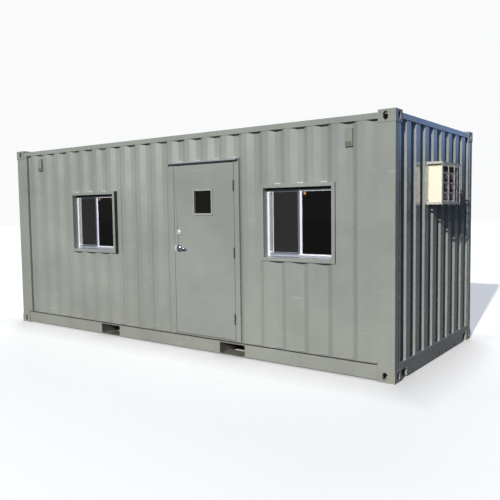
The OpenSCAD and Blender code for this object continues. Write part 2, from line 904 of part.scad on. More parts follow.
// Collar with a plug outside, collar with a thumb turn inside
module deadbolt() {
    back = -leaf_face + leaf_t;
    color("goldenrod") translate([lock_x, 0, bolt_z]) {
        translate([0, -leaf_face, 0]) rotate([90, 0, 0]) cylinder(r = bolt_r, h = bolt_t);
        translate([0, -leaf_face - bolt_t, 0]) rotate([90, 0, 0]) cylinder(r = 14, h = 3);
        translate([0, back + bolt_t, 0]) rotate([90, 0, 0]) cylinder(r = bolt_r, h = bolt_t);
        block([-4, back + bolt_t - 1, -20], [4, back + bolt_t + 22, 20]);
    }
}

// Knuckles named by their place from the bottom, 0 to 4
module knuckles(places, radius) {
    for (k = places)
        translate([0, 0, -hinge_h / 2 + k * knuckle_h + pin_gap / 2])
            cylinder(r = radius, h = knuckle_h - pin_gap);
}

// Tabs that join the named knuckles to a hinge plate that spans x0 to x1
module knuckle_tabs(places, x0, x1) {
    for (k = places)
        block([x0, 0, -hinge_h / 2 + k * knuckle_h + pin_gap / 2],
              [x1, hinge_out + 1, -hinge_h / 2 + (k + 1) * knuckle_h - pin_gap / 2]);
}

// A hinge plate that spans x0 to x1, clear of the other half's knuckles
module hinge_plate(x0, x1) {
    block([x0, knuckle_r + 0.5, -hinge_h / 2], [x1, hinge_out + plate_in, hinge_h / 2]);
}

// The fixed halves: a plate on the jamb, three knuckles and the pin
module frame_hinge_halves() {
    color([0.2, 0.2, 0.2]) for (z = hinge_zs) translate([hinge_x, -hinge_y, z]) {
        knuckles([0, 2, 4], knuckle_r);
        translate([0, 0, -hinge_h / 2 + 1]) cylinder(r = pin_r, h = hinge_h - 2);
        knuckle_tabs([0, 2, 4], leaf_gap / 2 - plate_t, leaf_gap / 2);
        hinge_plate(leaf_gap / 2 - plate_t, leaf_gap / 2);
    }
}

// The moving halves: a plate in the leaf's edge and two bored knuckles
module door_hinge_halves() {
    color([0.2, 0.2, 0.2]) for (z = hinge_zs) translate([hinge_x, -hinge_y, z])
        difference() {
            union() {
                knuckles([1, 3], knuckle_r);
                knuckle_tabs([1, 3], -leaf_gap / 2 - plate_t, -leaf_gap / 2);
                hinge_plate(-leaf_gap / 2 - plate_t, -leaf_gap / 2);
            }
            translate([0, 0, -hinge_h / 2 - 1])
                cylinder(r = pin_r + pin_gap, h = hinge_h + 2);
        }
}

// The place of the coil in the outer end of the case, from x0 to x1
module coil_place(x0, x1) {
    block([x0, ac_y - ac_w / 2 + ac_rim, ac_z + ac_rim],
          [x1, ac_y + ac_w / 2 - ac_rim, ac_z + ac_h - ac_rim]);
}

// The unit's case, through the wall, open at its outer end
module air_conditioner() {
    color(cream) difference() {
        ac_hole(room_x - ac_in, ac_face, 0);
        coil_place(ac_face - coil_in - coil_t, ac_face + 1);
    }
}

module ac_coil() {
    color("silver") coil_place(ac_face - coil_in - coil_t, ac_face - coil_in);
}

// The collar that closes the hole in the wall around the unit
module ac_sleeve() {
    color(paint) difference() {
        ac_hole(room_x, end_face, cage_gap);
        ac_hole(room_x - 1, end_face + 1, 0);
    }
}

// The flat outer face of the guard: four upright and five level bars
module ac_cage_grid() {
    rows = 4;
    step = (cage_z1 - cage_z0 - cage_bar) / rows;
    across = (2 * cage_half - cage_bar) / 3;
    color([0.7, 0.68, 0.66]) {
        for (k = [0 : 3])
            let (y = ac_y - cage_half + k * across)
            block([cage_face - cage_t, y, cage_z0 - 10],
                  [cage_face, y + cage_bar, cage_z1]);
        for (k = [0 : rows])
            let (tall = k == 0 || k == rows ? cage_bar : cage_thin,
                 z = cage_z0 + k * step + (cage_bar - tall) / 2)
            block([cage_face - cage_t, ac_y - cage_half, z],
                  [cage_face, ac_y + cage_half, z + tall]);
    }
}

// The four arms that carry the grid from the wall, with a foot plate each
module ac_cage_sides() {
    back = end_face;
    color([0.7, 0.68, 0.66]) for (s = [-1, 1]) {
        y = ac_y + s * cage_half;
        for (z = [cage_z0, cage_z1 - cage_bar])
            block([back, y, z], [cage_face - cage_t, y - s * cage_t, z + cage_bar]);
        block([back, y, cage_z0], [back + cage_t, y - s * cage_bar, cage_z1]);
    }
}

// A hood in a recess of the side wall on the +Y side, open below
module hood(x) {
    y0 = hood_back;
    block([x - side_flat / 2 + 3, y0, hood_z + 20],
          [x + side_flat / 2 - 3, y0 + hood_seat + 1, hood_z + hood_h - 10]);
    difference() {
        block([x - hood_w / 2, y0 + hood_seat, hood_z],
              [x + hood_w / 2, y0 + hood_d, hood_z + hood_h]);
        block([x - hood_w / 2 + hood_t, y0 + hood_seat + hood_t, hood_z - 1],
              [x + hood_w / 2 - hood_t, y0 + hood_d - hood_t, hood_z + hood_h - hood_t]);
    }
}

module ventilator_hoods() {
    color(dark_paint) both_sides() for (x = hood_xs) hood(x);
}

bottom_corner_castings();
top_corner_castings();
corner_posts();
front_bottom_rail();
back_bottom_rail();
bottom_end_rails();
top_side_rails();
top_end_rails();
cross_members();
fork_pockets();
floor();
roof();
roof_ends();
ceiling();
front_wall_left();
front_wall_middle();
front_wall_by_door();
front_wall_right();
wall_over_door();
left_window_panels();
right_window_panels();
back_wall();
left_end_wall();
right_end_wall();
front_lining();
back_lining();
end_linings();
window_surround_jambs();
window_surround_rails();
window_frame_jambs();
window_frame_rails();
fixed_sashes();
sliding_sashes();
window_panes();
door_jambs();
door_head();
threshold();
drip_cap();
door_leaf();
door_lite_trim();
door_lite_pane();
latch_guard();
lever_roses();
door_lever();
deadbolt();
frame_hinge_halves();
door_hinge_halves();
air_conditioner();
ac_coil();
ac_sleeve();
ac_cage_grid();
ac_cage_sides();
ventilator_hoods();
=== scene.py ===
# %% [markdown]
# A portable site cabin: a 20 ft steel box with a door, two sliding windows
# and a caged air conditioner. Its shape comes finished from the design, one
# object per sub-part, in metres, with X along the length, the door wall
# facing -Y and Z up. What is left to do here is how it looks: the stage, the
# finishes, and the small pieces that a fitter would add with a welder, a
# screwdriver and a sealant gun.

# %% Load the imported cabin
import math

import bmesh
import bpy
from mathutils import Matrix, Vector


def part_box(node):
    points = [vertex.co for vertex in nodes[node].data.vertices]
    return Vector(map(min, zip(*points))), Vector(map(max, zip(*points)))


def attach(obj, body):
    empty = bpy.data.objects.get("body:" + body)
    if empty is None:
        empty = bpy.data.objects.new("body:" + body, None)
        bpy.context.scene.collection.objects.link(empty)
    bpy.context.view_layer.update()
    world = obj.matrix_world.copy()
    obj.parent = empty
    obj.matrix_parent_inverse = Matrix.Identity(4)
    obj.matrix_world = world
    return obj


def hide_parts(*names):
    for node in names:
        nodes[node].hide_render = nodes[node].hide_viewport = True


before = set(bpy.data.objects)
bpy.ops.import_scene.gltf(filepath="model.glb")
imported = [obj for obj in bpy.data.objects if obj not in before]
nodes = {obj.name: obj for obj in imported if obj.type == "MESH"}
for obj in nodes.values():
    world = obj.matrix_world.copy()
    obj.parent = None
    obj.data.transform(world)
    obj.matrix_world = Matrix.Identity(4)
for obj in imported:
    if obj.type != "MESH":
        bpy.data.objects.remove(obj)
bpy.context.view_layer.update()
scene = bpy.context.scene


# %% [markdown]
# The view is a person's, standing off the right front corner at eye height.
# Its turn is three plain angles: yaw to the left, pitch down and a touch of
# roll. They are made into a matrix by hand, because Blender's Euler angles are
# hard to read back as a heading.

# %% Camera
CAMERA_PLACE = Vector((5.196, -6.463, 1.684))
CAMERA_ANGLES_DEG = (36.28, 3.995, -0.785)
CAMERA_LENS_MM = 42.66
CAMERA_SIGHT_M = 300

yaw, pitch, roll = (math.radians(a) for a in CAMERA_ANGLES_DEG)
level = Vector((math.cos(yaw), math.sin(yaw), 0))
forward = Vector((-level.y * math.cos(pitch), level.x * math.cos(pitch), -math.sin(pitch)))
upright = level.cross(forward)
cam_right = level * math.cos(roll) + upright * math.sin(roll)
cam_up = upright * math.cos(roll) - level * math.sin(roll)


def stand(name, data):
    """A new object on the stage."""
    obj = bpy.data.objects.new(name, data)
    scene.collection.objects.link(obj)
    return obj


camera = stand("camera", bpy.data.cameras.new("camera"))
camera.data.lens = CAMERA_LENS_MM
camera.data.clip_end = CAMERA_SIGHT_M
turn = Matrix((cam_right, cam_up, -forward)).transposed().to_4x4()
camera.matrix_world = Matrix.Translation(CAMERA_PLACE) @ turn
scene.camera = camera
print("camera at", tuple(CAMERA_PLACE), "with a lens of", CAMERA_LENS_MM, "mm")


# %% [markdown]
# One low sun-like key stands almost square to the door wall and just grazes
# the end wall, so that each corrugation there shows one bright and one dark
# side. An area lamp would light one end of such a long wall more than the other,
# and a sun doesn't. Its disc is wide, to soften the shadows. A weak, very wide
# fill from behind keeps the back and the left end readable.

# %% Lamps
def sun(name, source, strength, degrees, colour):
    """A sun lamp that shines from source, its disc some degrees wide."""
    lamp = stand(name, bpy.data.lights.new(name, "SUN"))
    lamp.data.energy = strength
    lamp.data.angle = math.radians(degrees)
    lamp.data.color = colour
    lamp.rotation_euler = Vector(source).to_track_quat("Z", "Y").to_euler()
    print("sun", name, "of strength", strength)


sun("key", (0.17, -1, 0.46), strength=4.25, degrees=1.2, colour=(1, 0.975, 0.94))
sun("fill", (-0.6, 1, 0.55), strength=1.5, degrees=50, colour=(0.92, 0.96, 1))
scene.view_settings.view_transform = "Standard"


# %% [markdown]
# The sky and every finish are node trees. They could be wired by hand, but a
# few short helpers make the wiring read like a recipe. A finish reads Object
# coordinates, which are metres here, so a noise scale of 4 has features of
# about a quarter of a metre on every sub-part, and the pattern runs on from
# one sheet to the next as real grime does.

# %% Helpers for node trees
class Wiring:
    """A node tree under construction, with short names for its common nodes."""

    def __init__(self, tree, coords):
        self.nodes, self.link = tree.nodes, tree.links.new
        self.coords = self.nodes.new("ShaderNodeTexCoord").outputs[coords]

    def put(self, socket, value):
        """Links a socket to an output, or sets it to a number or colour triple."""
        if isinstance(value, bpy.types.NodeSocket):
            self.link(value, socket)
        elif value is not None:
            socket.default_value = (*value, 1) if socket.type == "RGBA" else value

    def wire(self, node, **inputs):
        """Puts values on a node's inputs by name, with _ for a space."""
        for name, value in inputs.items():
            self.put(node.inputs[name.replace("_", " ")], value)
        return node

    def add(self, kind, **inputs):
        return self.wire(self.nodes.new("ShaderNode" + kind), **inputs)

    def stretch(self, x, y, z):
        """The coordinates with each axis scaled."""
        return self.add("Mapping", Vector=self.coords, Scale=(x, y, z)).outputs[0]

    def noise(self, scale, detail=3, rough=0.55, at=None, twist=0):
        return self.add("TexNoise", Scale=scale, Detail=detail, Roughness=rough,
                        Distortion=twist, Vector=at or self.coords).outputs["Fac"]

    def cells(self, scale, at=None, output="Distance"):
        return self.add("TexVoronoi", Scale=scale, Vector=at or self.coords).outputs[output]

    def axis(self, letter, at=None):
        return self.add("SeparateXYZ", Vector=at or self.coords).outputs[letter]

    def span(self, value, low, high, to_low=0, to_high=1, kind="LINEAR"):
        """Maps low..high to to_low..to_high, held at both ends."""
        node = self.add("MapRange", Value=value, From_Min=low, From_Max=high,
                        To_Min=to_low, To_Max=to_high)
        node.interpolation_type = kind
        return node.outputs["Result"]

    def math(self, kind, a, b=None):
        node = self.add("Math")
        node.operation = kind
        for socket, value in zip(node.inputs, (a, b)):
            self.put(socket, value)
        return node.outputs[0]

    def ramp(self, value, stops):
        """A gradient over value, from stops of (place, colour)."""
        node = self.add("ValToRGB", Fac=value)
        for _ in stops[2:]:
            node.color_ramp.elements.new(0.5)
        for element, (place, colour) in zip(node.color_ramp.elements, stops):
            element.position, element.color = place, (*colour, 1)
        return node.outputs["Color"]

    def mix(self, amount, first, second):
        """Mixes two colours; each is a socket or a colour triple."""
        node = self.add("Mix")
        node.data_type = "RGBA"
        sockets = (node.inputs["Factor"], node.inputs[6], node.inputs[7])
        for socket, value in zip(sockets, (amount, first, second)):
            self.put(socket, value)
        return node.outputs[2]

    def bump(self, height, strength, distance, under=None):
        return self.add("Bump", Strength=strength, Distance=distance, Height=height,
                        Normal=under).outputs[0]

    def for_camera(self, seen, bounced, output):
        """Shows one shader to the camera and another to every other ray."""
        pick = self.add("MixShader", Fac=self.add("LightPath").outputs["Is Camera Ray"])
        self.link(bounced.outputs[0], pick.inputs[1])
        self.link(seen.outputs[0], pick.inputs[2])
        self.link(pick.outputs[0], output.inputs["Surface"])


class Finish(Wiring):
    """A material's wiring, with a short way into its Principled shader."""

    def __init__(self, name):
        self.material = bpy.data.materials.new(name)
        self.material.use_nodes = True
        super().__init__(self.material.node_tree, "Object")
        self.shader = self.nodes["Principled BSDF"]

    def set(self, **inputs):
        self.wire(self.shader, **inputs)


def srgb(r, g, b):
    """A paint card's colour, 0 to 255, as the linear triple that shaders want."""
    def channel(c):
        c /= 255
        return c / 12.92 if c <= 0.04045 else ((c + 0.055) / 1.055) ** 2.4
    return (channel(r), channel(g), channel(b))


def times(colour, amount):
    """A colour made darker or paler, with no channel past 1."""
    return tuple(min(1, c * amount) for c in colour)


# %% [markdown]
# The sky is what gloss paint and glass mirror. Instead of a picture of a real
# one, a colour ramp runs on each ray's height, pale below and cooler above.
# Towards +X, where only the end wall sees it, a dark band lies under a bright
# blue one, for the glossy corrugations to mirror. Camera rays see an even pale
# backdrop.

# %% Sky
SKY_HEIGHTS, SIDE_TURN, SKY_STRENGTH = (-0.3, 0.7), (0.08, 0.26), 0.34
BACKDROP = (0.955, 0.96, 0.965)
OPEN_SKY = [(0, (0.34, 0.34, 0.33)), (0.3, (0.52, 0.53, 0.54)),
            (0.45, (0.5, 0.56, 0.64)), (1, (0.2, 0.32, 0.52))]
SIDE_SKY = [(0, (0.22, 0.22, 0.2)), (0.26, (0.05, 0.035, 0.025)),
            (0.33, (0.015, 0.008, 0.006)), (0.365, (0.18, 0.3, 0.6)),
            (0.41, (0.85, 1.4, 2.8)), (0.5, (0.5, 0.85, 1.9)),
            (0.6, (0.08, 0.13, 0.28)), (1, (0.03, 0.05, 0.12))]

world = bpy.data.worlds.new("studio")
world.use_nodes = True
scene.world = world
sky = Wiring(world.node_tree, "Generated")
height = sky.span(sky.axis("Z"), *SKY_HEIGHTS)
aside = sky.span(sky.axis("X"), *SIDE_TURN, kind="SMOOTHSTEP")
colour = sky.mix(aside, sky.ramp(height, OPEN_SKY), sky.ramp(height, SIDE_SKY))
lit = sky.wire(sky.nodes["Background"], Color=colour, Strength=SKY_STRENGTH)
plain = sky.add("Background", Color=BACKDROP)
sky.for_camera(plain, lit, sky.nodes["World Output"])
print("sky of", len(sky.nodes), "nodes")


# %% [markdown]
# The cabin is sprayed all over in one grey-green alkyd. Fresh paint would be
# flat and boring: real panels carry clouds, rain streaks, road dust near the
# ground, rust freckles, pale rubs, an orange-peel skin and sheets that are never
# quite flat. These could be painted on by hand, but noise runs over every edge
# without a seam. One function makes all the paints, with dirt and rust as
# arguments, so that they stay one family.

# %% Paint
GREEN_GREY = srgb(138, 143, 137)
DUST = srgb(150, 142, 125)
RUST = srgb(96, 58, 36)


def paint_finish(name, colour, dirt=0.3, rust=0.1, gloss=0.34, sheet=True, coat=0.6):
    f = Finish(name)
    # Cloudy colour with a fine mottle.
    dark = times(colour, 0.86)
    clouds = f.span(f.noise(0.9, detail=4), 0.32, 0.68)
    shade = f.mix(clouds, dark, times(colour, 1.1))
    shade = f.mix(f.span(f.noise(38, detail=2), 0.35, 0.75, 0, 0.16), shade, dark)
    # Rain streaks, then dust splashed up to knee height.
    streaks = f.noise(1, detail=3, at=f.stretch(22, 22, 0.7))
    shade = f.mix(f.span(streaks, 0.56, 0.8, 0, 0.55 * dirt), shade, times(colour, 0.6))
    low_down = f.span(f.axis("Z"), 0.02, 0.75, 1, 0)
    splash = f.math("MULTIPLY", low_down, f.span(f.noise(5, 5), 0.38, 0.72))
    shade = f.mix(f.math("MULTIPLY", splash, dirt), shade, DUST)
    # Rust freckles in loose patches, and pale rubs that run level.
    freckles = f.math(
        "MULTIPLY",
        f.span(f.noise(75, 3, 0.6), 0.66, 0.72),
        f.span(f.noise(3.1, 3), 0.5, 0.66, 0, rust * 4),
    )
    shade = f.mix(freckles, shade, RUST)
    level_noise = f.noise(1, 4, 0.62, at=f.stretch(2.2, 2.2, 17))
    rubs = f.span(level_noise, 0.665, 0.7, 0, 0.5)
    f.set(Base_Color=f.mix(rubs, shade, times(colour, 1.32)))
    # Dust and rust are duller than the paint.
    rough = f.span(f.noise(7, 4), 0.3, 0.7, gloss - 0.05, gloss + 0.09)
    rough = f.math("ADD", rough, f.math("MULTIPLY", splash, 0.35 * dirt))
    f.set(Roughness=f.math("ADD", rough, f.math("MULTIPLY", freckles, 0.4)))
    f.set(Specular_IOR_Level=0.5, Coat_Weight=coat, Coat_Roughness=0.09)
    # Waves in the sheet, then orange peel, then raised rust.
    waves = f.bump(f.noise(2.1, detail=1), 0.3 if sheet else 0.08, 0.012)
    peel = f.bump(f.noise(420, detail=1), 0.1, 0.0006, under=waves)
    f.set(Normal=f.bump(freckles, 0.25, 0.0008, under=peel))
    return f.material


cabin_paint = paint_finish("cabin_paint", GREEN_GREY)
end_paint = paint_finish("end_paint", GREEN_GREY, gloss=0.26, coat=1)
door_paint = paint_finish(
    "door_paint", srgb(137, 142, 137), dirt=0.2, rust=0.03, gloss=0.36, sheet=False)
trim_paint = paint_finish("trim_paint", srgb(150, 153, 145), rust=0.03, sheet=False)
frame_paint = paint_finish(
    "frame_paint", GREEN_GREY, dirt=0.4, rust=0.22, sheet=False, coat=0.25)
casting_paint = paint_finish(
    "casting_paint", srgb(134, 139, 131), dirt=0.5, rust=0.6, gloss=0.45, sheet=False)
under_paint = paint_finish(
    "under_paint", srgb(96, 98, 92), dirt=0.9, rust=0.8, gloss=0.6, sheet=False)
hood_paint = paint_finish("hood_paint", srgb(132, 137, 130), dirt=0.4, rust=0.2, sheet=False)


def give(material, *names):
    for name in names:
        mesh = nodes[name].data
        mesh.materials.clear()
        mesh.materials.append(material)
    print(material.name, "on", *names)


give(cabin_paint, "front_wall_left", "front_wall_middle", "front_wall_by_door",
     "front_wall_right", "wall_over_door", "left_window_panels", "right_window_panels",
     "back_wall", "roof", "roof_ends")
give(end_paint, "left_end_wall", "right_end_wall", "top_end_rails", "bottom_end_rails")
give(frame_paint, "corner_posts", "front_bottom_rail", "back_bottom_rail",
     "top_side_rails", "window_surround_jambs", "window_surround_rails", "ac_sleeve")
give(door_paint, "door_leaf", "door_jambs", "door_head")
give(trim_paint, "door_lite_trim")
give(casting_paint, "bottom_corner_castings", "top_corner_castings")
give(under_paint, "cross_members", "fork_pockets")
give(hood_paint, "ventilator_hoods")


# %% [markdown]
# Bare metals come next. Mill aluminium has fine die lines along the bar and
# a bloom of oxide. A wave texture would be too regular for the lines, so they
# are noise stretched along the bar. Galvanised sheet shows its zinc crystals,
# and a Voronoi texture gives each cell its own brightness.

# %% Bare metals
def aluminium_finish(name, colour, rough=0.36, along="X", metallic=0.85):
    f = Finish(name)
    stretch = {"X": (1.5, 900, 900), "Z": (900, 900, 1.5)}[along]
    lines = f.noise(1, detail=2, at=f.stretch(*stretch))
    bloom = f.noise(14, detail=4)
    shade = f.mix(f.span(bloom, 0.3, 0.75, 0, 0.6), colour, times(colour, 0.74))
    f.set(Base_Color=f.mix(f.span(lines, 0.3, 0.7, 0, 0.25), shade, times(colour, 0.8)))
    f.set(Roughness=f.span(bloom, 0.3, 0.75, rough, rough + 0.16))
    f.set(Metallic=metallic)
    f.set(Normal=f.bump(lines, 0.12, 0.0003))
    return f.material


def zinc_finish(name, colour):
    f = Finish(name)
    crystals = f.axis("X", at=f.cells(70, output="Color"))
    stains = f.noise(9, detail=4)
    shade = f.mix(f.span(crystals, 0, 1, 0, 0.45), colour, times(colour, 0.72))
    f.set(Base_Color=f.mix(f.span(stains, 0.5, 0.75, 0, 0.5), shade, srgb(150, 148, 140)))
    f.set(Roughness=f.span(crystals, 0, 1, 0.34, 0.5))
    f.set(Metallic=0.7)
    f.set(Normal=f.bump(crystals, 0.05, 0.0002))
    return f.material


def chrome_finish(name, colour, rough=0.12, tarnish=0.2, metallic=1):
    f = Finish(name)
    smudge = f.noise(48, detail=3)
    shade = f.mix(f.span(smudge, 0.42, 0.75, 0, tarnish), colour, srgb(92, 84, 70))
    f.set(Base_Color=shade)
    f.set(Roughness=f.span(smudge, 0.3, 0.8, rough, rough + 0.2))
    f.set(Metallic=metallic)
    f.set(Normal=f.bump(f.noise(160, 2), 0.04, 0.0003))
    return f.material


window_metal = aluminium_finish("window_metal", srgb(214, 217, 224))
# A paler, less metallic copy of the window aluminium: painted light, so that the parts in sun
# come out white.
painted_sunlit_metal = aluminium_finish("painted_sunlit_metal", srgb(240, 242, 246), rough=0.42, metallic=0.3)
# A darker, bluer copy of the window aluminium: painted shade for the parts set back in the
# track.
painted_shade_metal = aluminium_finish("painted_shade_metal", srgb(168, 174, 190), rough=0.4)
sill_metal = aluminium_finish("sill_metal", srgb(190, 188, 182), rough=0.48)
satin_chrome = chrome_finish("satin_chrome", srgb(216, 220, 228), rough=0.09, tarnish=0.3)
lock_brass = chrome_finish("lock_brass", srgb(164, 132, 84), rough=0.28, tarnish=0.6)
hinge_steel = paint_finish("hinge_steel", srgb(58, 58, 55), rust=0.5, gloss=0.5, sheet=False)
cage_paint = paint_finish(
    "cage_paint", srgb(186, 182, 176), dirt=0.4, rust=0.7, gloss=0.42, sheet=False)
coil_metal = aluminium_finish("coil_metal", srgb(134, 131, 134), rough=0.55, along="Z")
case_enamel = paint_finish("case_enamel", srgb(234, 230, 208), gloss=0.3, sheet=False)

give(window_metal, "window_frame_rails")
give(painted_sunlit_metal, "window_frame_jambs", "fixed_sashes")
give(painted_shade_metal, "sliding_sashes")
give(sill_metal, "threshold")
give(zinc_finish("drip_metal", srgb(196, 198, 206)), "drip_cap")
give(satin_chrome, "lever_roses", "door_lever")
give(painted_sunlit_metal, "latch_guard")
give(lock_brass, "deadbolt")
give(hinge_steel, "frame_hinge_halves", "door_hinge_halves")
give(cage_paint, "ac_cage_grid", "ac_cage_sides")
give(case_enamel, "air_conditioner")
give(coil_metal, "ac_coil")


# %% [markdown]
# The rest of the shell: tinted glass that lets a little of the dark room
# through, wipe-down lining panels with scuffs above the floor, and a
# plywood floor with long grain, knots and traffic wear. Plain black gloss would
# do for the glass from outside, but then the room would have no windows.

# %% Glass, lining and floor
def glass_finish(name, clear=0.7):
    f = Finish(name)
    film = f.noise(3.5, detail=4)
    f.set(Base_Color=(0.006, 0.006, 0.005), Transmission_Weight=clear, IOR=1.45)
    f.set(Roughness=f.span(film, 0.35, 0.8, 0.015, 0.09))
    f.set(Normal=f.bump(f.noise(1.6, 1), 0.06, 0.01))
    return f.material


def lining_finish(name):
    f = Finish(name)
    stipple = f.noise(260, detail=2)
    scuffs = f.math(
        "MULTIPLY",
        f.span(f.axis("Z"), 0.25, 1.1, 1, 0.1),
        f.span(f.noise(1, 4, at=f.stretch(6, 6, 26)), 0.58, 0.72),
    )
    shade = f.mix(f.span(f.noise(1.3, 3), 0.3, 0.7), srgb(214, 210, 198), srgb(226, 223, 214))
    f.set(Base_Color=f.mix(f.math("MULTIPLY", scuffs, 0.35), shade, srgb(120, 116, 108)))
    f.set(Roughness=f.span(f.noise(6, 3), 0.3, 0.7, 0.46, 0.6))
    f.set(Normal=f.bump(stipple, 0.15, 0.0006))
    return f.material


def plywood_finish(name):
    f = Finish(name)
    grain = f.noise(1, detail=6, at=f.stretch(2.2, 46, 46), twist=0.6)
    knots = f.cells(2.3, at=f.stretch(1, 2.6, 1))
    shade = f.mix(f.span(grain, 0.3, 0.7), srgb(150, 112, 72), srgb(112, 78, 46))
    shade = f.mix(f.span(knots, 0.02, 0.07, 0.7, 0), shade, srgb(62, 40, 24))
    worn = f.span(f.noise(1.7, 5), 0.45, 0.7, 0, 0.6)
    f.set(Base_Color=f.mix(worn, shade, srgb(120, 108, 92)))
    f.set(Roughness=f.span(worn, 0, 0.6, 0.45, 0.75))
    f.set(Normal=f.bump(grain, 0.2, 0.001))
    return f.material


lining_panel = lining_finish("lining_panel")
give(lining_panel, "ceiling", "front_lining", "back_lining", "end_linings")
give(glass_finish("tinted_glass"), "window_panes")
give(glass_finish("door_glass", clear=0.25), "door_lite_pane")
give(plywood_finish("plywood"), "floor")


# %% [markdown]
# Folded and rolled steel never has a knife edge, and a rounded one catches a
# line of light. The design's edges are sharp, so a Weld modifier joins each
# node's loose triangles and a Bevel modifier rounds what turns by more than
# the limit. Modifiers leave the design's own meshes untouched.

# %% Round the edges of the design
def soften(width, segments, *names, limit=28):
    for name in names:
        obj = nodes[name]
        weld = obj.modifiers.new("weld", "WELD")
        weld.merge_threshold = 0.00005
        bevel = obj.modifiers.new("bevel", "BEVEL")
        bevel.width = width
        bevel.segments = segments
        bevel.limit_method = "ANGLE"
        bevel.angle_limit = math.radians(limit)
    print("rounded", len(names), "nodes by", width, "m")


soften(0.006, 3, "bottom_corner_castings", "top_corner_castings")
soften(0.004, 2, "corner_posts", "top_side_rails", "top_end_rails", "bottom_end_rails")
soften(0.002, 2, "front_bottom_rail", "back_bottom_rail", "door_jambs", "door_head",
       "door_leaf", "window_surround_jambs", "window_surround_rails", "ac_sleeve",
       "fork_pockets", "cross_members")
soften(0.0012, 2, "window_frame_jambs", "window_frame_rails", "fixed_sashes",
       "sliding_sashes", "door_lite_trim", "drip_cap", "threshold", "latch_guard",
       "ac_cage_grid", "ac_cage_sides", "ventilator_hoods", "air_conditioner")

# %% [markdown]
# What follows are the small pieces. Each is one mesh, even where it is forty
# screws, because a joined mesh is cheap and moves as one. Their places could
# be typed in, but asking the design is safer. So the first helpers copy a node
# with its loose triangles joined, list its separate solids as boxes, and cut
# it with a plane to find the line of its folds.

# %% Helpers that read the design
FRONT, BACK = Vector((0, -1, 0)), Vector((0, 1, 0))
RIGHT, LEFT = Vector((1, 0, 0)), Vector((-1, 0, 0))
UP, DOWN = Vector((0, 0, 1)), Vector((0, 0, -1))


def merged(name):
    """A copy of a design node with its loose triangles joined."""
    bm = bmesh.new()
    bm.from_mesh(nodes[name].data)
    bmesh.ops.remove_doubles(bm, verts=bm.verts, dist=0.00005)
    return bm


def island(vert):
    """Every vertex joined to this one by edges."""
    seen, waiting = set(), [vert]
    while waiting:
        vert = waiting.pop()
        if vert not in seen:
            seen.add(vert)
            waiting += [e.other_vert(vert) for e in vert.link_edges]
    return seen


def solids(name):
    """The lowest and highest corner of each separate solid of a node."""
    bm = merged(name)
    waiting, boxes = set(bm.verts), []
    while waiting:
        group = island(next(iter(waiting)))
        waiting -= group
        low = Vector([min(v.co[i] for v in group) for i in range(3)])
        high = Vector([max(v.co[i] for v in group) for i in range(3)])
        boxes.append((low, high))
    bm.free()
    return sorted(boxes, key=lambda box: tuple(round(c, 4) for c in box[0]))


def outline(name, out, at, across=UP):
    """The line where a plane square to across meets the faces turned to out."""
    bm = merged(name)
    hidden = [f for f in bm.faces if f.normal.dot(out) < 0.25]
    bmesh.ops.delete(bm, geom=hidden, context="FACES")
    cut = bmesh.ops.bisect_plane(
        bm, geom=bm.verts[:] + bm.edges[:] + bm.faces[:],
        plane_co=across * at, plane_no=across)
    places = {tuple(round(c, 5) for c in v.co) for v in cut["geom_cut"]
              if isinstance(v, bmesh.types.BMVert)}
    bm.free()
    line = []
    for point in sorted((Vector(p) for p in places), key=out.cross(across).dot):
        if not line or (point - line[-1]).length > 0.0005:
            line.append(point)
    return line


# %% [markdown]
# Two shapes come up again and again: a round bead of weld, rubber or sealant,
# and a bar with its edges eased. A bead could be extruded bit by bit, but a
# curve with a round bevel turns its own corners and closes its own ends.

# %% Helpers that add a bead or a bar
def bead(bm, points, radius, closed=False, detail=1):
    """A round bead along a line of points, added to bm."""
    curve = bpy.data.curves.new("bead", "CURVE")
    curve.dimensions = "3D"
    curve.bevel_depth = radius
    curve.bevel_resolution = detail
    curve.use_fill_caps = not closed
    line = curve.splines.new("POLY")
    line.points.add(len(points) - 1)
    for point, place in zip(line.points, points):
        point.co = (*place, 1)
    line.use_cyclic_u = closed
    holder = bpy.data.objects.new("bead", curve)
    mesh = bpy.data.meshes.new_from_object(holder)
    bm.from_mesh(mesh)
    bpy.data.objects.remove(holder)
    bpy.data.curves.remove(curve)
    bpy.data.meshes.remove(mesh)


def bar(bm, low, high, edge=0.001, segments=1):
    """A bar between two corners with its edges eased, added to bm."""
    low, high = Vector(low), Vector(high)
    low, high = Vector(map(min, low, high)), Vector(map(max, low, high))
    place = Matrix.Translation((low + high) / 2) @ Matrix.Diagonal((*(high - low), 1))
    made = bmesh.ops.create_cube(bm, size=1, matrix=place)["verts"]
    edges = {e for v in made for e in v.link_edges}
    bmesh.ops.bevel(bm, geom=list(edges), offset=edge, segments=segments, profile=0.5,
                    affect="EDGES", material=-1)


# %% [markdown]
# Screw heads, bolts and roses are turned metal. Stacked cylinders would show
# steps, so each is a profile of a few points spun about its axis, with its poles
# closed. It is made on the origin and then moved to face out of its sheet.

# %% Helpers that turn a profile
def facing(place, out, spin=0):
    """The matrix that stands a shape made along +Z on place, pointing out."""
    turn = Vector(out).to_track_quat("Z", "Y").to_matrix().to_4x4()
    return Matrix.Translation(place) @ turn @ Matrix.Rotation(spin, 4, "Z")


def turned(bm, profile, place, out, steps=16):
    """Spins a profile of (radius, height) pairs into a closed solid on place."""
    first, last = profile[0], profile[-1]
    closing = [(first[0], last[1])] + ([first] if first[0] > 0 else [])
    verts = [bm.verts.new((r, 0, h)) for r, h in profile + closing]
    edges = [bm.edges.new(pair) for pair in zip(verts, verts[1:])]
    bmesh.ops.spin(bm, geom=verts + edges, axis=UP, angle=math.tau, steps=steps,
                   use_merge=True)
    made = island(verts[0])
    bmesh.ops.remove_doubles(bm, verts=list(made), dist=0.00002)
    kept = [v for v in made if v.is_valid]
    bmesh.ops.transform(bm, matrix=facing(place, out), verts=kept)


SCREW_HEAD = [(0, 0.0012), (0.0016, 0.0012), (0.0024, 0.0034), (0.0042, 0.0026),
              (0.0052, 0)]


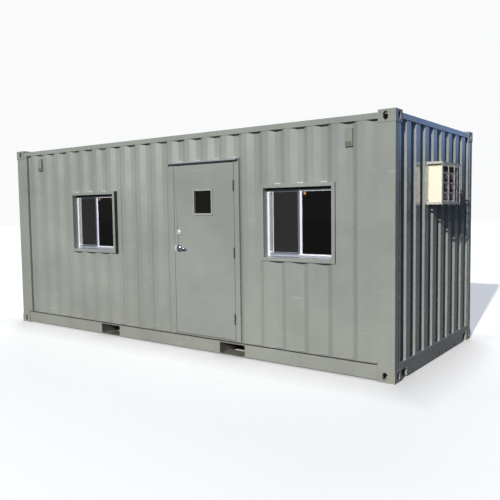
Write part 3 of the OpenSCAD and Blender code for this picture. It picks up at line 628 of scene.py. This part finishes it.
def screws(bm, places, out, size=1):
    """Pan-head screws with a small driver hollow."""
    for place in places:
        turned(bm, [(r * size, h * size) for r, h in SCREW_HEAD], place, out, steps=10)


# %% [markdown]
# Last, a bmesh becomes a piece. Its faces are turned outward, flat faces stay
# crisp and round ones smooth, and it is tied to the body that carries it. One
# helper does this for every piece, so that nothing is forgotten.

# %% Helper that finishes a piece
def piece(name, bm, material, body="cabin", smooth=True, instead=()):
    """Finishes a bmesh as a piece that rides on a body."""
    bmesh.ops.recalc_face_normals(bm, faces=bm.faces)
    mesh = bpy.data.meshes.new(name)
    bm.to_mesh(mesh)
    bm.free()
    if smooth:
        mesh.shade_smooth()
        mesh.set_sharp_from_angle(angle=math.radians(38))
    mesh.materials.append(material)
    obj = stand(name, mesh)
    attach(obj, body)
    if instead:
        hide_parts(*instead)
    print("made", name, "with", sum(len(p.vertices) - 2 for p in mesh.polygons), "triangles")


# %% [markdown]
# Sealant is a pale soft bead that has picked up dust, and rubber is near black
# with a dull bloom. The insect mesh is a weave of threads, far too fine to
# model, so a grid of half clear holes in its alpha stands in for it, at the
# true pitch.

# %% Rubber, sealant, mesh and plug
def plain_finish(name, colour, worn, rough, grain=60):
    f = Finish(name)
    cloud = f.noise(grain, detail=4)
    f.set(Base_Color=f.mix(f.span(cloud, 0.3, 0.75), colour, worn))
    f.set(Roughness=f.span(cloud, 0.3, 0.75, rough, min(1, rough + 0.2)))
    f.set(Normal=f.bump(cloud, 0.15, 0.0008))
    return f.material


def weave_finish(name, colour, pitch):
    f = Finish(name)
    threads = []
    for letter in "XZ":
        along = f.span(f.math("PINGPONG", f.axis(letter), pitch / 2), 0, pitch / 2)
        threads.append(f.span(along, 0.42, 0.5, 1, 0))
    f.set(Alpha=f.span(f.math("MAXIMUM", *threads), 0, 1, 0.25, 1))
    f.set(Base_Color=f.mix(f.noise(30, 3), colour, times(colour, 1.8)))
    f.set(Roughness=0.8)
    return f.material


WEAVE_PITCH = 0.0016
rubber = plain_finish("rubber", srgb(24, 25, 25), srgb(52, 52, 50), 0.55)
sealant = plain_finish("sealant", srgb(206, 205, 196), srgb(178, 174, 160), 0.5, grain=90)
insect_weave = weave_finish("insect_weave", srgb(15, 16, 15), WEAVE_PITCH)
plug_plastic = plain_finish(
    "plug_plastic", srgb(196, 132, 66), srgb(160, 100, 52), 0.4, grain=120)


# %% [markdown]
# Steel boxes are held together by weld beads, and a painted bead catches a
# thin line of light wherever two parts meet. The beads follow the sheets'
# own zigzag: a copy of each sheet is cut level with its edge and the cut
# line becomes the path of the bead, so it fits however the sheet is folded.

# %% Weld beads
SHEET_WELD, POST_WELD, CASTING_WELD = 0.0028, 0.003, 0.0038
EDGE_STEP = 0.0015
WHOLE_SHEETS = (
    ("front_wall_left", FRONT), ("front_wall_middle", FRONT), ("front_wall_by_door", FRONT),
    ("front_wall_right", FRONT), ("back_wall", BACK), ("left_end_wall", LEFT),
    ("right_end_wall", RIGHT), ("left_window_panels", FRONT), ("right_window_panels", FRONT),
)
weld = bmesh.new()
for name, out in WHOLE_SHEETS:
    low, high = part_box(name)
    for level_z in (low[2] + EDGE_STEP, high[2] - EDGE_STEP):
        bead(weld, outline(name, out, level_z), SHEET_WELD)
over_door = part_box("wall_over_door")[1][2] - EDGE_STEP
bead(weld, outline("wall_over_door", FRONT, over_door), SHEET_WELD)
piece("sheet_welds", weld, frame_paint)

POST_BACK = 0.004
weld = bmesh.new()
for name, side, rail in (("bottom_corner_castings", 1, "back_bottom_rail"),
                         ("top_corner_castings", 0, "top_side_rails")):
    rail_low, rail_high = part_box(rail)
    for low, high in solids(name):
        z = (low, high)[side][2]
        in_x, out_x = sorted((low.x, high.x), key=abs)
        in_y, out_y = sorted((low.y, high.y), key=abs)
        out_x -= math.copysign(POST_BACK, out_x)
        out_y -= math.copysign(POST_BACK, out_y)
        bead(weld, [(in_x, out_y, z), (out_x, out_y, z), (out_x, in_y, z)], CASTING_WELD)
        bead(weld, [(in_x, out_y, rail_low[2]), (in_x, out_y, rail_high[2])], POST_WELD)
piece("casting_welds", weld, frame_paint)


# %% [markdown]
# A groove runs along the top of each bottom side rail, under the wall. A thin
# near-black bar lies in it as painted shade, for the shadow under the rail's
# top lip; from a few steps away it reads as one dark line along the whole wall.
# A stripe in the paint could have done the same, but the bar sits in the groove
# itself. A near-black bead in the step beside the left castings is painted shade
# as well, for the shaded side of the castings.

# %% Painted shade in the groove
GROOVE_Y, GROOVE_Z = (1.212, 1.1925), (0.1592, 0.1728)
STEP_Y, STEP_Z = 1.215, (0.024, 0.158)
# A near-black finish that is painted shade wherever it is used, mottled a little.
painted_shade_seal = plain_finish("painted_shade_seal", srgb(30, 31, 29), srgb(62, 60, 52), 0.8, grain=9)
groove = bmesh.new()
rail_low, rail_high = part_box("front_bottom_rail")
for side in (-1, 1):
    bar(groove, (rail_low[0] + 0.001, side * GROOVE_Y[0], GROOVE_Z[0]),
        (rail_high[0] - 0.001, side * GROOVE_Y[1], GROOVE_Z[1]), 0.002)
    bead(groove, [(rail_low[0] + 0.0025, side * STEP_Y, z) for z in STEP_Z], 0.0032)
piece("groove_painted_shade", groove, painted_shade_seal)


# %% [markdown]
# A fitter runs pale sealant along every ledge where rain could stand. Here it
# fills the sheet's hollows above each window and above the drip cap. The same
# cut line as before says where: a bead is laid wherever it lies back.

# %% Sealant along the ledges
LEDGES = (("left_window_panels", 1.9405), ("right_window_panels", 1.9405),
          ("wall_over_door", 2.2515))
HOLLOW_Y = -1.19
BEAD_OFFSET = Vector((0, -0.006, 0.002))
PAST_THE_END = Vector((9, -9, 0))
sealing = bmesh.new()
for name, ledge_z in LEDGES:
    hollow = []
    for point in outline(name, FRONT, ledge_z) + [PAST_THE_END]:
        if point.y > HOLLOW_Y:
            hollow.append(point + BEAD_OFFSET)
            continue
        if len(hollow) > 1:
            bead(sealing, hollow, 0.007, detail=2)
        hollow = []
piece("ledge_sealant", sealing, sealant)


# %% [markdown]
# The two windows are alike, so each part is made twice in one mesh, with a
# shift along X. The right half of a window is a fixed light held by a snap-in
# bead, in a pale copy of the aluminium that paints it as sunlit. The left half
# slides in a track behind, and an insect screen stands in front of it, with a
# cream stile and aluminium rails; the sliding sash and the rails are in a
# darker, bluer copy of the aluminium that paints them as shaded. Frames are
# made of single bars, so that their joints show where the real ones do.

# %% Window beads, gaskets and screens
WINDOW_SHIFTS = (0, -3.245)
FIXED_GLASS = (1.972, 2.3205, 1.201, 1.859)
SLIDING_GLASS = (1.6155, 1.925, 1.22, 1.84)
SCREEN = (1.603, 1.925, 1.206, 1.866)
BEAD_Y, SCREEN_Y = (-1.1475, -1.1425), (-1.144, -1.135)
STILE_FRONT, WEAVE_Y = -1.145, -1.1405
BEAD_WIDE, STILE_WIDE, RAIL_HIGH, GASKET_R = 0.009, 0.01, 0.009, 0.0022


def grown(pane, grow, shift=0):
    """The x0, x1, z0, z1 of a pane, moved along X and grown outward."""
    x0, x1, z0, z1 = pane
    return x0 + shift - grow, x1 + shift + grow, z0 - grow, z1 + grow


def loop(pane, y):
    """The four corners of an upright pane."""
    x0, x1, z0, z1 = pane
    return [Vector((x0, y, z0)), Vector((x1, y, z0)), Vector((x1, y, z1)), Vector((x0, y, z1))]


beads, gaskets, screens, rails, meshes = (bmesh.new() for _ in range(5))
for shift in WINDOW_SHIFTS:
    x0, x1, z0, z1 = grown(FIXED_GLASS, 0.007, shift)
    front, back = BEAD_Y
    for z in (z0, z1 - BEAD_WIDE):
        bar(beads, (x0, front, z), (x1, back, z + BEAD_WIDE), 0.0015)
    for x in (x0, x1 - BEAD_WIDE):
        bar(beads, (x, front, z0 + BEAD_WIDE), (x + BEAD_WIDE, back, z1 - BEAD_WIDE), 0.0015)
    for pane, grow, y in ((FIXED_GLASS, -0.0035, -1.1405), (SLIDING_GLASS, -0.001, -1.12)):
        bead(gaskets, loop(grown(pane, grow, shift), y), GASKET_R, closed=True)
    x0, x1, z0, z1 = grown(SCREEN, 0, shift)
    front, back = SCREEN_Y
    stile_x = x0 + STILE_WIDE
    bar(screens, (x0, STILE_FRONT, z0), (stile_x, back, z1), 0.0015)
    for z in (z0, z1 - RAIL_HIGH):
        bar(rails, (stile_x, front, z), (x1, back, z + RAIL_HIGH), 0.0015)
    bar(rails, (x1 - 0.005, front, z0 + RAIL_HIGH), (x1, back, z1 - RAIL_HIGH), 0.001)
    wide, high = x1 - x0 - 2 * RAIL_HIGH, z1 - z0 - 2 * RAIL_HIGH
    bmesh.ops.create_grid(
        meshes, x_segments=1, y_segments=1, size=0.5,
        matrix=Matrix.Translation(((x0 + x1) / 2, WEAVE_Y, (z0 + z1) / 2))
        @ Matrix.Diagonal((wide, 1, high, 1)) @ Matrix.Rotation(math.radians(90), 4, "X"))
bmesh.ops.solidify(meshes, geom=meshes.faces[:], thickness=0.0004)
screen_enamel = plain_finish("screen_enamel", srgb(214, 208, 184), srgb(182, 174, 150), 0.45)
piece("glazing_beads", beads, painted_sunlit_metal)
piece("glazing_gaskets", gaskets, rubber)
piece("screen_stiles", screens, screen_enamel)
piece("screen_rails", rails, painted_shade_metal)
piece("screen_meshes", meshes, insect_weave, smooth=False)


# %% [markdown]
# Where the two halves meet, a strip of pile brushes the draught out, and its
# dark grey-blue also paints the shade on that half of the meeting stile. White
# plastic keys and screws hold the frame's corners; the white keys also stand
# for the glints at those corners. A near-black strip over the frame's head is
# painted shadow, where the surround's top shades it, and thin near-black strips
# on the outer sides of the steel surround paint the shade on its side faces.
# Small covers let rain out of the weep holes. Each sliding sash has a lipped
# finger rail on the room side. All are slim bars or screws, so the shapes at
# hand do for them.

# %% Window fittings
FRAME_FACE, HEAD_SCREW_Z, JAMB_SCREW_Z = -1.148, 1.886, (1.25, 1.53, 1.81)
pile_shade_bars, keys_and_glints, fixings, weeps, pulls, shade_strips = (bmesh.new() for _ in range(6))
for shift in WINDOW_SHIFTS:
    # Pile strip; its grey-blue is also painted shade on the meeting stile.
    bar(pile_shade_bars, (1.9255 + shift, -1.1472, 1.196), (1.946 + shift, -1.145, 1.864), 0.0007)
    # White corner keys, also standing for the glints at the frame's corners.
    for z in (1.205, 1.851):
        bar(keys_and_glints, (1.5645 + shift, -1.144, z), (1.5845 + shift, -1.136, z + 0.018), 0.003, 2)
        bar(keys_and_glints, (1.598 + shift, -1.1465, z), (1.612 + shift, -1.1435, z + 0.014), 0.002, 2)
    for x in (1.552, 2.347):
        screws(fixings, [(x + shift, FRAME_FACE, z) for z in JAMB_SCREW_Z], FRONT, 0.9)
    screws(fixings, [(x + shift, FRAME_FACE, HEAD_SCREW_Z) for x in (1.68, 1.95, 2.22)],
           FRONT, 0.9)
    for x in (1.74 + shift, 2.16 + shift):
        bar(weeps, (x - 0.018, -1.228, 1.166), (x + 0.018, -1.2245, 1.173), 0.0012)
    # Painted shadow: a near-black strip over the frame's head.
    bar(shade_strips, (1.5365 + shift, -1.15, 1.877), (2.3605 + shift, -1.1475, 1.8995), 0.001)
    # Painted shade: near-black strips on the surround's outer sides.
    for x in (1.4962 + shift, 2.3993 + shift):
        bar(shade_strips, (x, -1.227, 1.124), (x + 0.0015, -1.1765, 1.936), 0.0005)
    bar(pulls, (1.583 + shift, -1.1073, 1.47), (1.601 + shift, -1.099, 1.59), 0.002, 2)
    bar(pulls, (1.597 + shift, -1.101, 1.476), (1.603 + shift, -1.093, 1.584), 0.002, 2)
pile_and_shade = plain_finish("pile_and_shade", srgb(92, 102, 128), srgb(66, 72, 92), 0.85, grain=300)
key_plastic_and_glint = plain_finish("key_plastic_and_glint", srgb(240, 241, 240), srgb(214, 214, 208), 0.35)
piece("pile_and_shade_strips", pile_shade_bars, pile_and_shade)
piece("painted_shade_strips", shade_strips, painted_shade_seal)
piece("corner_keys_and_glints", keys_and_glints, key_plastic_and_glint)
piece("window_screws", fixings, window_metal)
piece("weep_covers", weeps, sill_metal)
piece("sash_pulls", pulls, window_metal)


# %% [markdown]
# A round orange plug is pressed onto the head corner of each fixed glass. It is
# one low dome, spun from a profile and scaled to the two sizes.

# %% Glass buttons
DOME = [(0, 0.005), (0.55, 0.0046), (0.85, 0.0032), (1, 0.001), (1, 0)]
BUTTON_Y, BUTTON_Z = -1.1397, 1.834
caps = bmesh.new()
for x, radius in ((2.004, 0.016), (-1.241, 0.012)):
    turned(caps, [(r * radius, h) for r, h in DOME], (x, BUTTON_Y, BUTTON_Z), FRONT, steps=24)
piece("glass_buttons", caps, plug_plastic)


# %% [markdown]
# The door's hardware is turned and bent metal, so it is spun from profiles.
# A rose is a shallow dome around a raised collar. The deadbolt is a tapered
# security ring around a brass cylinder with a key slot, and a small turn on
# the room side. The roses stand a little proud of the plain discs of the
# design, and the deadbolt keeps to its box.

# %% Door roses and deadbolt
LOCK_X, LEVER_Z, BOLT_Z = 0.294, 1.219, 1.414
LEAF_FACE, LEAF_BACK = -1.221, -1.177
ROSE = [(0, 0.0256), (0.013, 0.0256), (0.0146, 0.024)]
ROSE += [(0.0458 * math.cos(a), 0.025 * math.sin(a))
         for a in (1.15, 1, 0.85, 0.7, 0.55, 0.4, 0.25, 0.1, 0)]
RING = [(0.0128, 0.013), (0.014, 0.0178), (0.0175, 0.0188), (0.0215, 0.017),
        (0.0275, 0.008), (0.0297, 0.004), (0.0298, 0)]
CYLINDER = [(0, 0.0142), (0.006, 0.0142), (0.0066, 0.0136), (0.0118, 0.0136),
            (0.0127, 0.0125)]
TURN_PLATE = [(0, 0.01), (0.012, 0.01), (0.024, 0.0085), (0.029, 0.004), (0.0298, 0)]
TURN_STEM = [(0, 0.03), (0.005, 0.0298), (0.0065, 0.028), (0.007, 0.009)]

roses = bmesh.new()
turned(roses, ROSE, (LOCK_X, LEAF_FACE, LEVER_Z), FRONT, steps=40)
turned(roses, ROSE, (LOCK_X, LEAF_BACK, LEVER_Z), BACK, steps=40)
piece("rose_domes", roses, satin_chrome, "door", instead=("lever_roses",))

ring = bmesh.new()
turned(ring, RING, (LOCK_X, LEAF_FACE, BOLT_Z), FRONT, steps=36)
turned(ring, TURN_PLATE, (LOCK_X, LEAF_BACK, BOLT_Z), BACK, steps=36)
turned(ring, TURN_STEM, (LOCK_X, LEAF_BACK, BOLT_Z), BACK, steps=20)
bar(ring, (LOCK_X - 0.0045, LEAF_BACK + 0.024, BOLT_Z - 0.019),
    (LOCK_X + 0.0045, LEAF_BACK + 0.0375, BOLT_Z + 0.019), 0.004, 3)
piece("deadbolt_ring", ring, painted_sunlit_metal, "door", instead=("deadbolt",))

cylinder = bmesh.new()
turned(cylinder, CYLINDER, (LOCK_X, LEAF_FACE, BOLT_Z), FRONT, steps=24)
for z0, z1 in ((-0.0022, -0.0008), (0.0008, 0.0022)):
    bar(cylinder, (LOCK_X - 0.0045, LEAF_FACE - 0.015, BOLT_Z + z0),
        (LOCK_X + 0.0045, LEAF_FACE - 0.0138, BOLT_Z + z1), 0.0004)
piece("deadbolt_cylinder", cylinder, lock_brass, "door")


# %% [markdown]
# A lever is a rod bent twice: out from the rose, along the door, and back at
# the tip so that it cannot catch a sleeve. A line of points with a round
# bevel is the quickest way to bend a rod, and a spun neck covers its root.

# %% Door lever
LEVER_BENDS = [(0, 0.016), (0, 0.034), (0.003, 0.043), (0.01, 0.048), (0.02, 0.05),
               (0.088, 0.05), (0.1, 0.049), (0.107, 0.045), (0.11, 0.038), (0.109, 0.032)]
LEVER_R = 0.0114
NECK = [(0.0124, 0.042), (0.0126, 0.037), (0.0128, 0.032), (0.0142, 0.0278), (0.0145, 0.025)]
levers = bmesh.new()
for face, side in ((LEAF_FACE, -1), (LEAF_BACK, 1)):
    rod = [Vector((LOCK_X + x, face + side * out, LEVER_Z)) for x, out in LEVER_BENDS]
    bead(levers, rod, LEVER_R, detail=6)
    turned(levers, [(r * 0.9, h) for r, h in NECK], (LOCK_X, face, LEVER_Z),
           (0, side, 0), steps=28)
piece("bent_levers", levers, satin_chrome, "lever", instead=("door_lever",))


# %% [markdown]
# More door parts: the latch guard's coach bolts, the hinges' domed pins, the
# screws and rubber around the small light, and the soft gasket that the leaf
# closes onto. Domes are spun and rubber is a bead, because that is how both
# come from the maker. The gasket stays on the frame when the door swings.

# %% Door bolts, pins, screws and rubber
BOLT_DOME = [(0, 0.0034), (0.0028, 0.0031), (0.0055, 0.0018), (0.0068, 0)]
PIN_DOME = [(0, 0.0038), (0.003, 0.0034), (0.0055, 0.0018), (0.0062, 0)]
guard = bmesh.new()
for z in (1.194, 1.244):
    turned(guard, BOLT_DOME, (0.238, -1.224, z), FRONT, steps=16)
piece("guard_bolts", guard, satin_chrome, "door")

pins = bmesh.new()
for low, high in solids("door_hinge_halves"):
    for z, out in ((low.z, DOWN), (high.z, UP)):
        turned(pins, PIN_DOME, ((low.x + high.x) / 2, low.y + 0.008, z), out, steps=14)
piece("hinge_pins", pins, hinge_steel, "cabin")


def spread(low, high, inset, count):
    """Evenly spaced places between two limits, with an inset at both ends."""
    return [low + inset + i * (high - low - 2 * inset) / (count - 1) for i in range(count)]


def pane_of(name):
    """The x0, x1, z0, z1 of a node's box."""
    low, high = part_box(name)
    return low[0], high[0], low[2], high[2]


trim_screws, lite_rubber, gasket = (bmesh.new() for _ in range(3))
x0, x1, z0, z1 = pane_of("door_lite_trim")
xs, zs = spread(x0, x1, 0.01, 3), spread(z0, z1, 0.01, 3)
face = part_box("door_lite_trim")[0][1]
screws(trim_screws, [(x, face, z) for x in xs for z in zs if (x, z) != (xs[1], zs[1])],
       FRONT, 0.75)
piece("lite_screws", trim_screws, trim_paint, "door")

glass_low, glass_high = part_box("door_lite_pane")
for y in (glass_low[1] - 0.0018, glass_high[1] + 0.0018):
    bead(lite_rubber, loop(grown(pane_of("door_lite_pane"), -0.007), y), 0.0025, closed=True)
piece("lite_gasket", lite_rubber, rubber, "door")

GASKET_Y = -1.1741
bead(gasket, loop(grown(pane_of("door_leaf"), -0.0075), GASKET_Y), 0.0021, closed=True)
piece("door_gasket", gasket, rubber)

strike = bmesh.new()
bar(strike, (0.2285, -1.1722, 1.15), (0.2385, -1.1705, 1.29), 0.0006)
piece("strike_plate", strike, satin_chrome)


# %% [markdown]
# The outdoor end of the air conditioner is a finned coil in a cream steel case
# with painted screws. The fins are made one by one but kept to six faces each,
# because at this size the eye reads their rhythm and not their edges.

# %% Air conditioner fins and case screws
FIN_PITCH, FIN_T, FIN_DEEP = 0.0078, 0.0012, 0.012
TUBES, TUBE_R = 5, 0.0042
coil_low, coil_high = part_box("ac_coil")
fins = bmesh.new()
count = int((coil_high[1] - coil_low[1] - 0.008) / FIN_PITCH)
size = (FIN_DEEP, FIN_T, coil_high[2] - coil_low[2] - 0.004)
for i in range(count + 1):
    middle = (coil_high[0] + FIN_DEEP / 2, coil_low[1] + 0.004 + i * FIN_PITCH,
              (coil_low[2] + coil_high[2]) / 2)
    bmesh.ops.create_cube(fins, size=1,
                          matrix=Matrix.Translation(middle) @ Matrix.Diagonal((*size, 1)))
for k in range(TUBES):
    z = coil_low[2] + (k + 0.5) * (coil_high[2] - coil_low[2]) / TUBES
    bead(fins, [(coil_high[0] + 0.01, y, z) for y in
                (coil_low[1] + 0.003, coil_high[1] - 0.003)], TUBE_R)
piece("coil_fins", fins, coil_metal, smooth=False)

case_screws, seams = bmesh.new(), bmesh.new()
case_low, case_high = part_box("air_conditioner")
for side, y in ((FRONT, case_low[1]), (BACK, case_high[1])):
    screws(case_screws, [(x, y, z) for x in (3.045, 3.14) for z in (1.745, 1.922, 2.098)],
           side, 1.1)
screws(case_screws, [(3.163, y, z) for y in (case_low[1] + 0.012, case_high[1] - 0.012)
                     for z in (1.76, 1.922, 2.084)], RIGHT, 1)
piece("case_screws", case_screws, case_enamel)

seam_z = case_high[2] - 0.03
for y, out in ((case_low[1] - 0.0004, -1), (case_high[1] + 0.0004, 1)):
    bar(seams, (3.024, y, seam_z), (3.16, y + out * 0.0012, seam_z + 0.0035), 0.0005)
bar(seams, (3.03, case_low[1] + 0.004, case_high[2] - 0.0005),
    (3.036, case_high[1] - 0.004, case_high[2] + 0.0025), 0.001)
piece("case_seams", seams, case_enamel)


# %% [markdown]
# The cage is flat bar welded in a grid and bolted through the end wall. A
# small flattened nugget of weld sits at each crossing, and three bolts hold
# each side. Two cuts through the design's grid give its rows and columns.

# %% Cage welds and bolts
WASHER_T, HEX_HIGH, HEX_ACROSS = 0.0016, 0.005, 0.009


def hex_bolts(bm, places, out):
    """Hexagon heads, each turned its own way, with a washer under each."""
    for i, place in enumerate(places):
        for segments, wide, tip, low, deep, spin in (
            (12, 0.95, 0.9, 0, WASHER_T, 0), (6, 0.62, 0.56, WASHER_T, HEX_HIGH, i * 0.7),
        ):
            bmesh.ops.create_cone(
                bm, cap_ends=True, segments=segments, depth=deep,
                radius1=HEX_ACROSS * wide, radius2=HEX_ACROSS * tip,
                matrix=facing(Vector(place) + out * (low + deep / 2), out, spin))


def middles(edges):
    """The middle of each bar, from the edges of all of them."""
    edges = sorted({round(edge, 4) for edge in edges})
    return [(a + b) / 2 for a, b in zip(edges[::2], edges[1::2])]


grid_low, grid_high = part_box("ac_cage_grid")
rows = middles(p.z for p in outline("ac_cage_grid", RIGHT, -0.3, across=BACK))
columns = middles(p.y for p in outline("ac_cage_grid", RIGHT, 1.76))
print("cage rows", len(rows), "columns", len(columns))
nuggets, anchors = bmesh.new(), bmesh.new()
for y in columns:
    for z in rows:
        place = Vector((grid_low[0] - 0.001, y, z))
        bmesh.ops.create_icosphere(
            nuggets, subdivisions=1, radius=0.007,
            matrix=Matrix.Translation(place) @ Matrix.Diagonal((0.45, 1, 1, 1)))
for y in (grid_low[1] + 0.0125, grid_high[1] - 0.0125):
    hex_bolts(anchors, [(3.027, y, z) for z in (1.76, 1.92, 2.08)], RIGHT)
piece("cage_welds", nuggets, cage_paint)
piece("cage_bolts", anchors, cage_paint)


# %% [markdown]
# A ventilator hood is a folded box in a hollow of the wall. The lowest part
# of its front is a grille of upright slots, and four screws hold the box to
# the sheet. Slots could be cut in it, but dark bars on a backing strip read
# the same and leave the design whole.

# %% Hood grilles and screws
grilles, hood_screws = bmesh.new(), bmesh.new()
GRILLE_HIGH, GRILLE_BARS = 0.044, 5
for low, high in solids("ventilator_hoods"):
    face = max(low.y, high.y, key=abs)
    side = math.copysign(1, face)
    out = Vector((0, side, 0))
    z0 = low.z + 0.006
    bar(grilles, (low.x + 0.006, face - side * 0.001, z0),
        (high.x - 0.006, face + side * 0.0012, z0 + GRILLE_HIGH), 0.0005)
    step = (high.x - low.x - 0.02) / (GRILLE_BARS - 1)
    for k in range(GRILLE_BARS):
        x = low.x + 0.01 + k * step
        bar(grilles, (x - 0.003, face, z0 + 0.002),
            (x + 0.003, face + side * 0.0038, z0 + GRILLE_HIGH - 0.002), 0.0012)
    screws(hood_screws, [(x, face, z) for x in (low.x + 0.01, high.x - 0.01)
                         for z in (low.z + 0.064, high.z - 0.012)], out, 0.8)
grille_metal = paint_finish("grille_metal", srgb(112, 108, 98), dirt=0.6, rust=0.5, sheet=False)
piece("hood_grilles", grilles, grille_metal)
piece("hood_screws", hood_screws, hood_paint)


# %% [markdown]
# The roof sheets are seam welded to the rails, and inside, strips cover the
# joints of the lining panels, with a skirting against mops and boots. Rows of
# countersunk screws hold the floor to the cross members. There are many, so
# each has only a few faces.

# %% Roof welds, lining strips, skirting and floor screws
ROOF_Y, ROOF_END_X, ROOF_RAIL_X, ROOF_WELD = 1.1535, (2.853, 2.963), 2.9635, 0.003
roof_weld = bmesh.new()
for y in (-ROOF_Y, ROOF_Y):
    bead(roof_weld, outline("roof", UP, y, across=BACK), ROOF_WELD)
for side in (-1, 1):
    for y in (-1.0555, 1.0555):
        bead(roof_weld, [(side * x, y, 2.565) for x in ROOF_END_X], ROOF_WELD)
for x in (-ROOF_RAIL_X, ROOF_RAIL_X):
    bead(roof_weld, [(x, -1.055, 2.5665), (x, 1.055, 2.5665)], ROOF_WELD)
piece("roof_welds", roof_weld, cabin_paint)

PANEL_JOINTS = (-2.4, -1.2, 0, 1.2, 2.4)
SKIRTING_Z = (0.2065, 0.285)
strips, floor_screws = bmesh.new(), bmesh.new()
for x in PANEL_JOINTS:
    bar(strips, (x - 0.018, 1.0968, 0.29), (x + 0.018, 1.1005, 2.42), 0.0012)
    bar(strips, (x - 0.018, -1.099, 2.4165), (x + 0.018, 1.099, 2.4205), 0.0012)
for x0, x1, y0, y1 in (
    (-2.896, 2.896, 1.09, 1.1005),
    (-2.896, 0.128, -1.1005, -1.09), (1.208, 2.896, -1.1005, -1.09),
    (-2.8985, -2.888, -1.089, 1.089), (2.888, 2.8985, -1.089, 1.089),
):
    bar(strips, (x0, y0, SKIRTING_Z[0]), (x1, y1, SKIRTING_Z[1]), 0.002)
piece("lining_strips", strips, lining_panel)

COUNTERSUNK = [(0, 0.0001), (0.0016, 0.0002), (0.005, 0.0008), (0.0054, 0)]
FLOOR_TOP = 0.207
for x in [-2.7 + 0.45 * i for i in range(13)]:
    for y in (-0.98, -0.49, 0, 0.49, 0.98):
        turned(floor_screws, COUNTERSUNK, (x, y, FLOOR_TOP), UP, steps=8)
piece("floor_screws", floor_screws, hinge_steel)


# %% [markdown]
# The floor of the stage is one big pale sheet just under the castings. Plain
# white would look grey, so it glows a little. The glow is off below the cabin
# and fades in over 0.7 m from just inside its outline, which paints a soft
# shade around the cabin's foot. Bounced light finds it dull, so that it doesn't
# light the underside of every ledge.

# %% Stage floor
FLOOR_SIZE, FLOOR_DROP = 60, 0.0005
SHADED_X, SHADED_Y, GLOW, PAINTED_SHADE_REACH = 2.9, 1.1, 0.3, 0.7
floor_bm = bmesh.new()
bmesh.ops.create_grid(floor_bm, x_segments=1, y_segments=1, size=FLOOR_SIZE,
                      matrix=Matrix.Translation((0, 0, -FLOOR_DROP)))
floor_mesh = bpy.data.meshes.new("stage_floor")
floor_bm.to_mesh(floor_mesh)
floor_bm.free()
stage_floor = stand("stage_floor", floor_mesh)
f = Finish("stage_floor")
f.set(Roughness=0.9, Base_Color=(0.93, 0.93, 0.925), Emission_Color=(1, 1, 1))
# Painted shade: the glow fades out towards the cabin.
past_x = f.math("SUBTRACT", f.math("ABSOLUTE", f.axis("X")), SHADED_X)
past_y = f.math("SUBTRACT", f.math("ABSOLUTE", f.axis("Y")), SHADED_Y)
f.set(Emission_Strength=f.span(f.math("MAXIMUM", past_x, past_y), 0, PAINTED_SHADE_REACH, 0, GLOW))
dull = f.add("BsdfDiffuse", Color=(0.15, 0.15, 0.147))
f.for_camera(f.shader, dull, f.nodes["Material Output"])
stage_floor.data.materials.append(f.material)
print("stage floor", 2 * FLOOR_SIZE, "m wide")
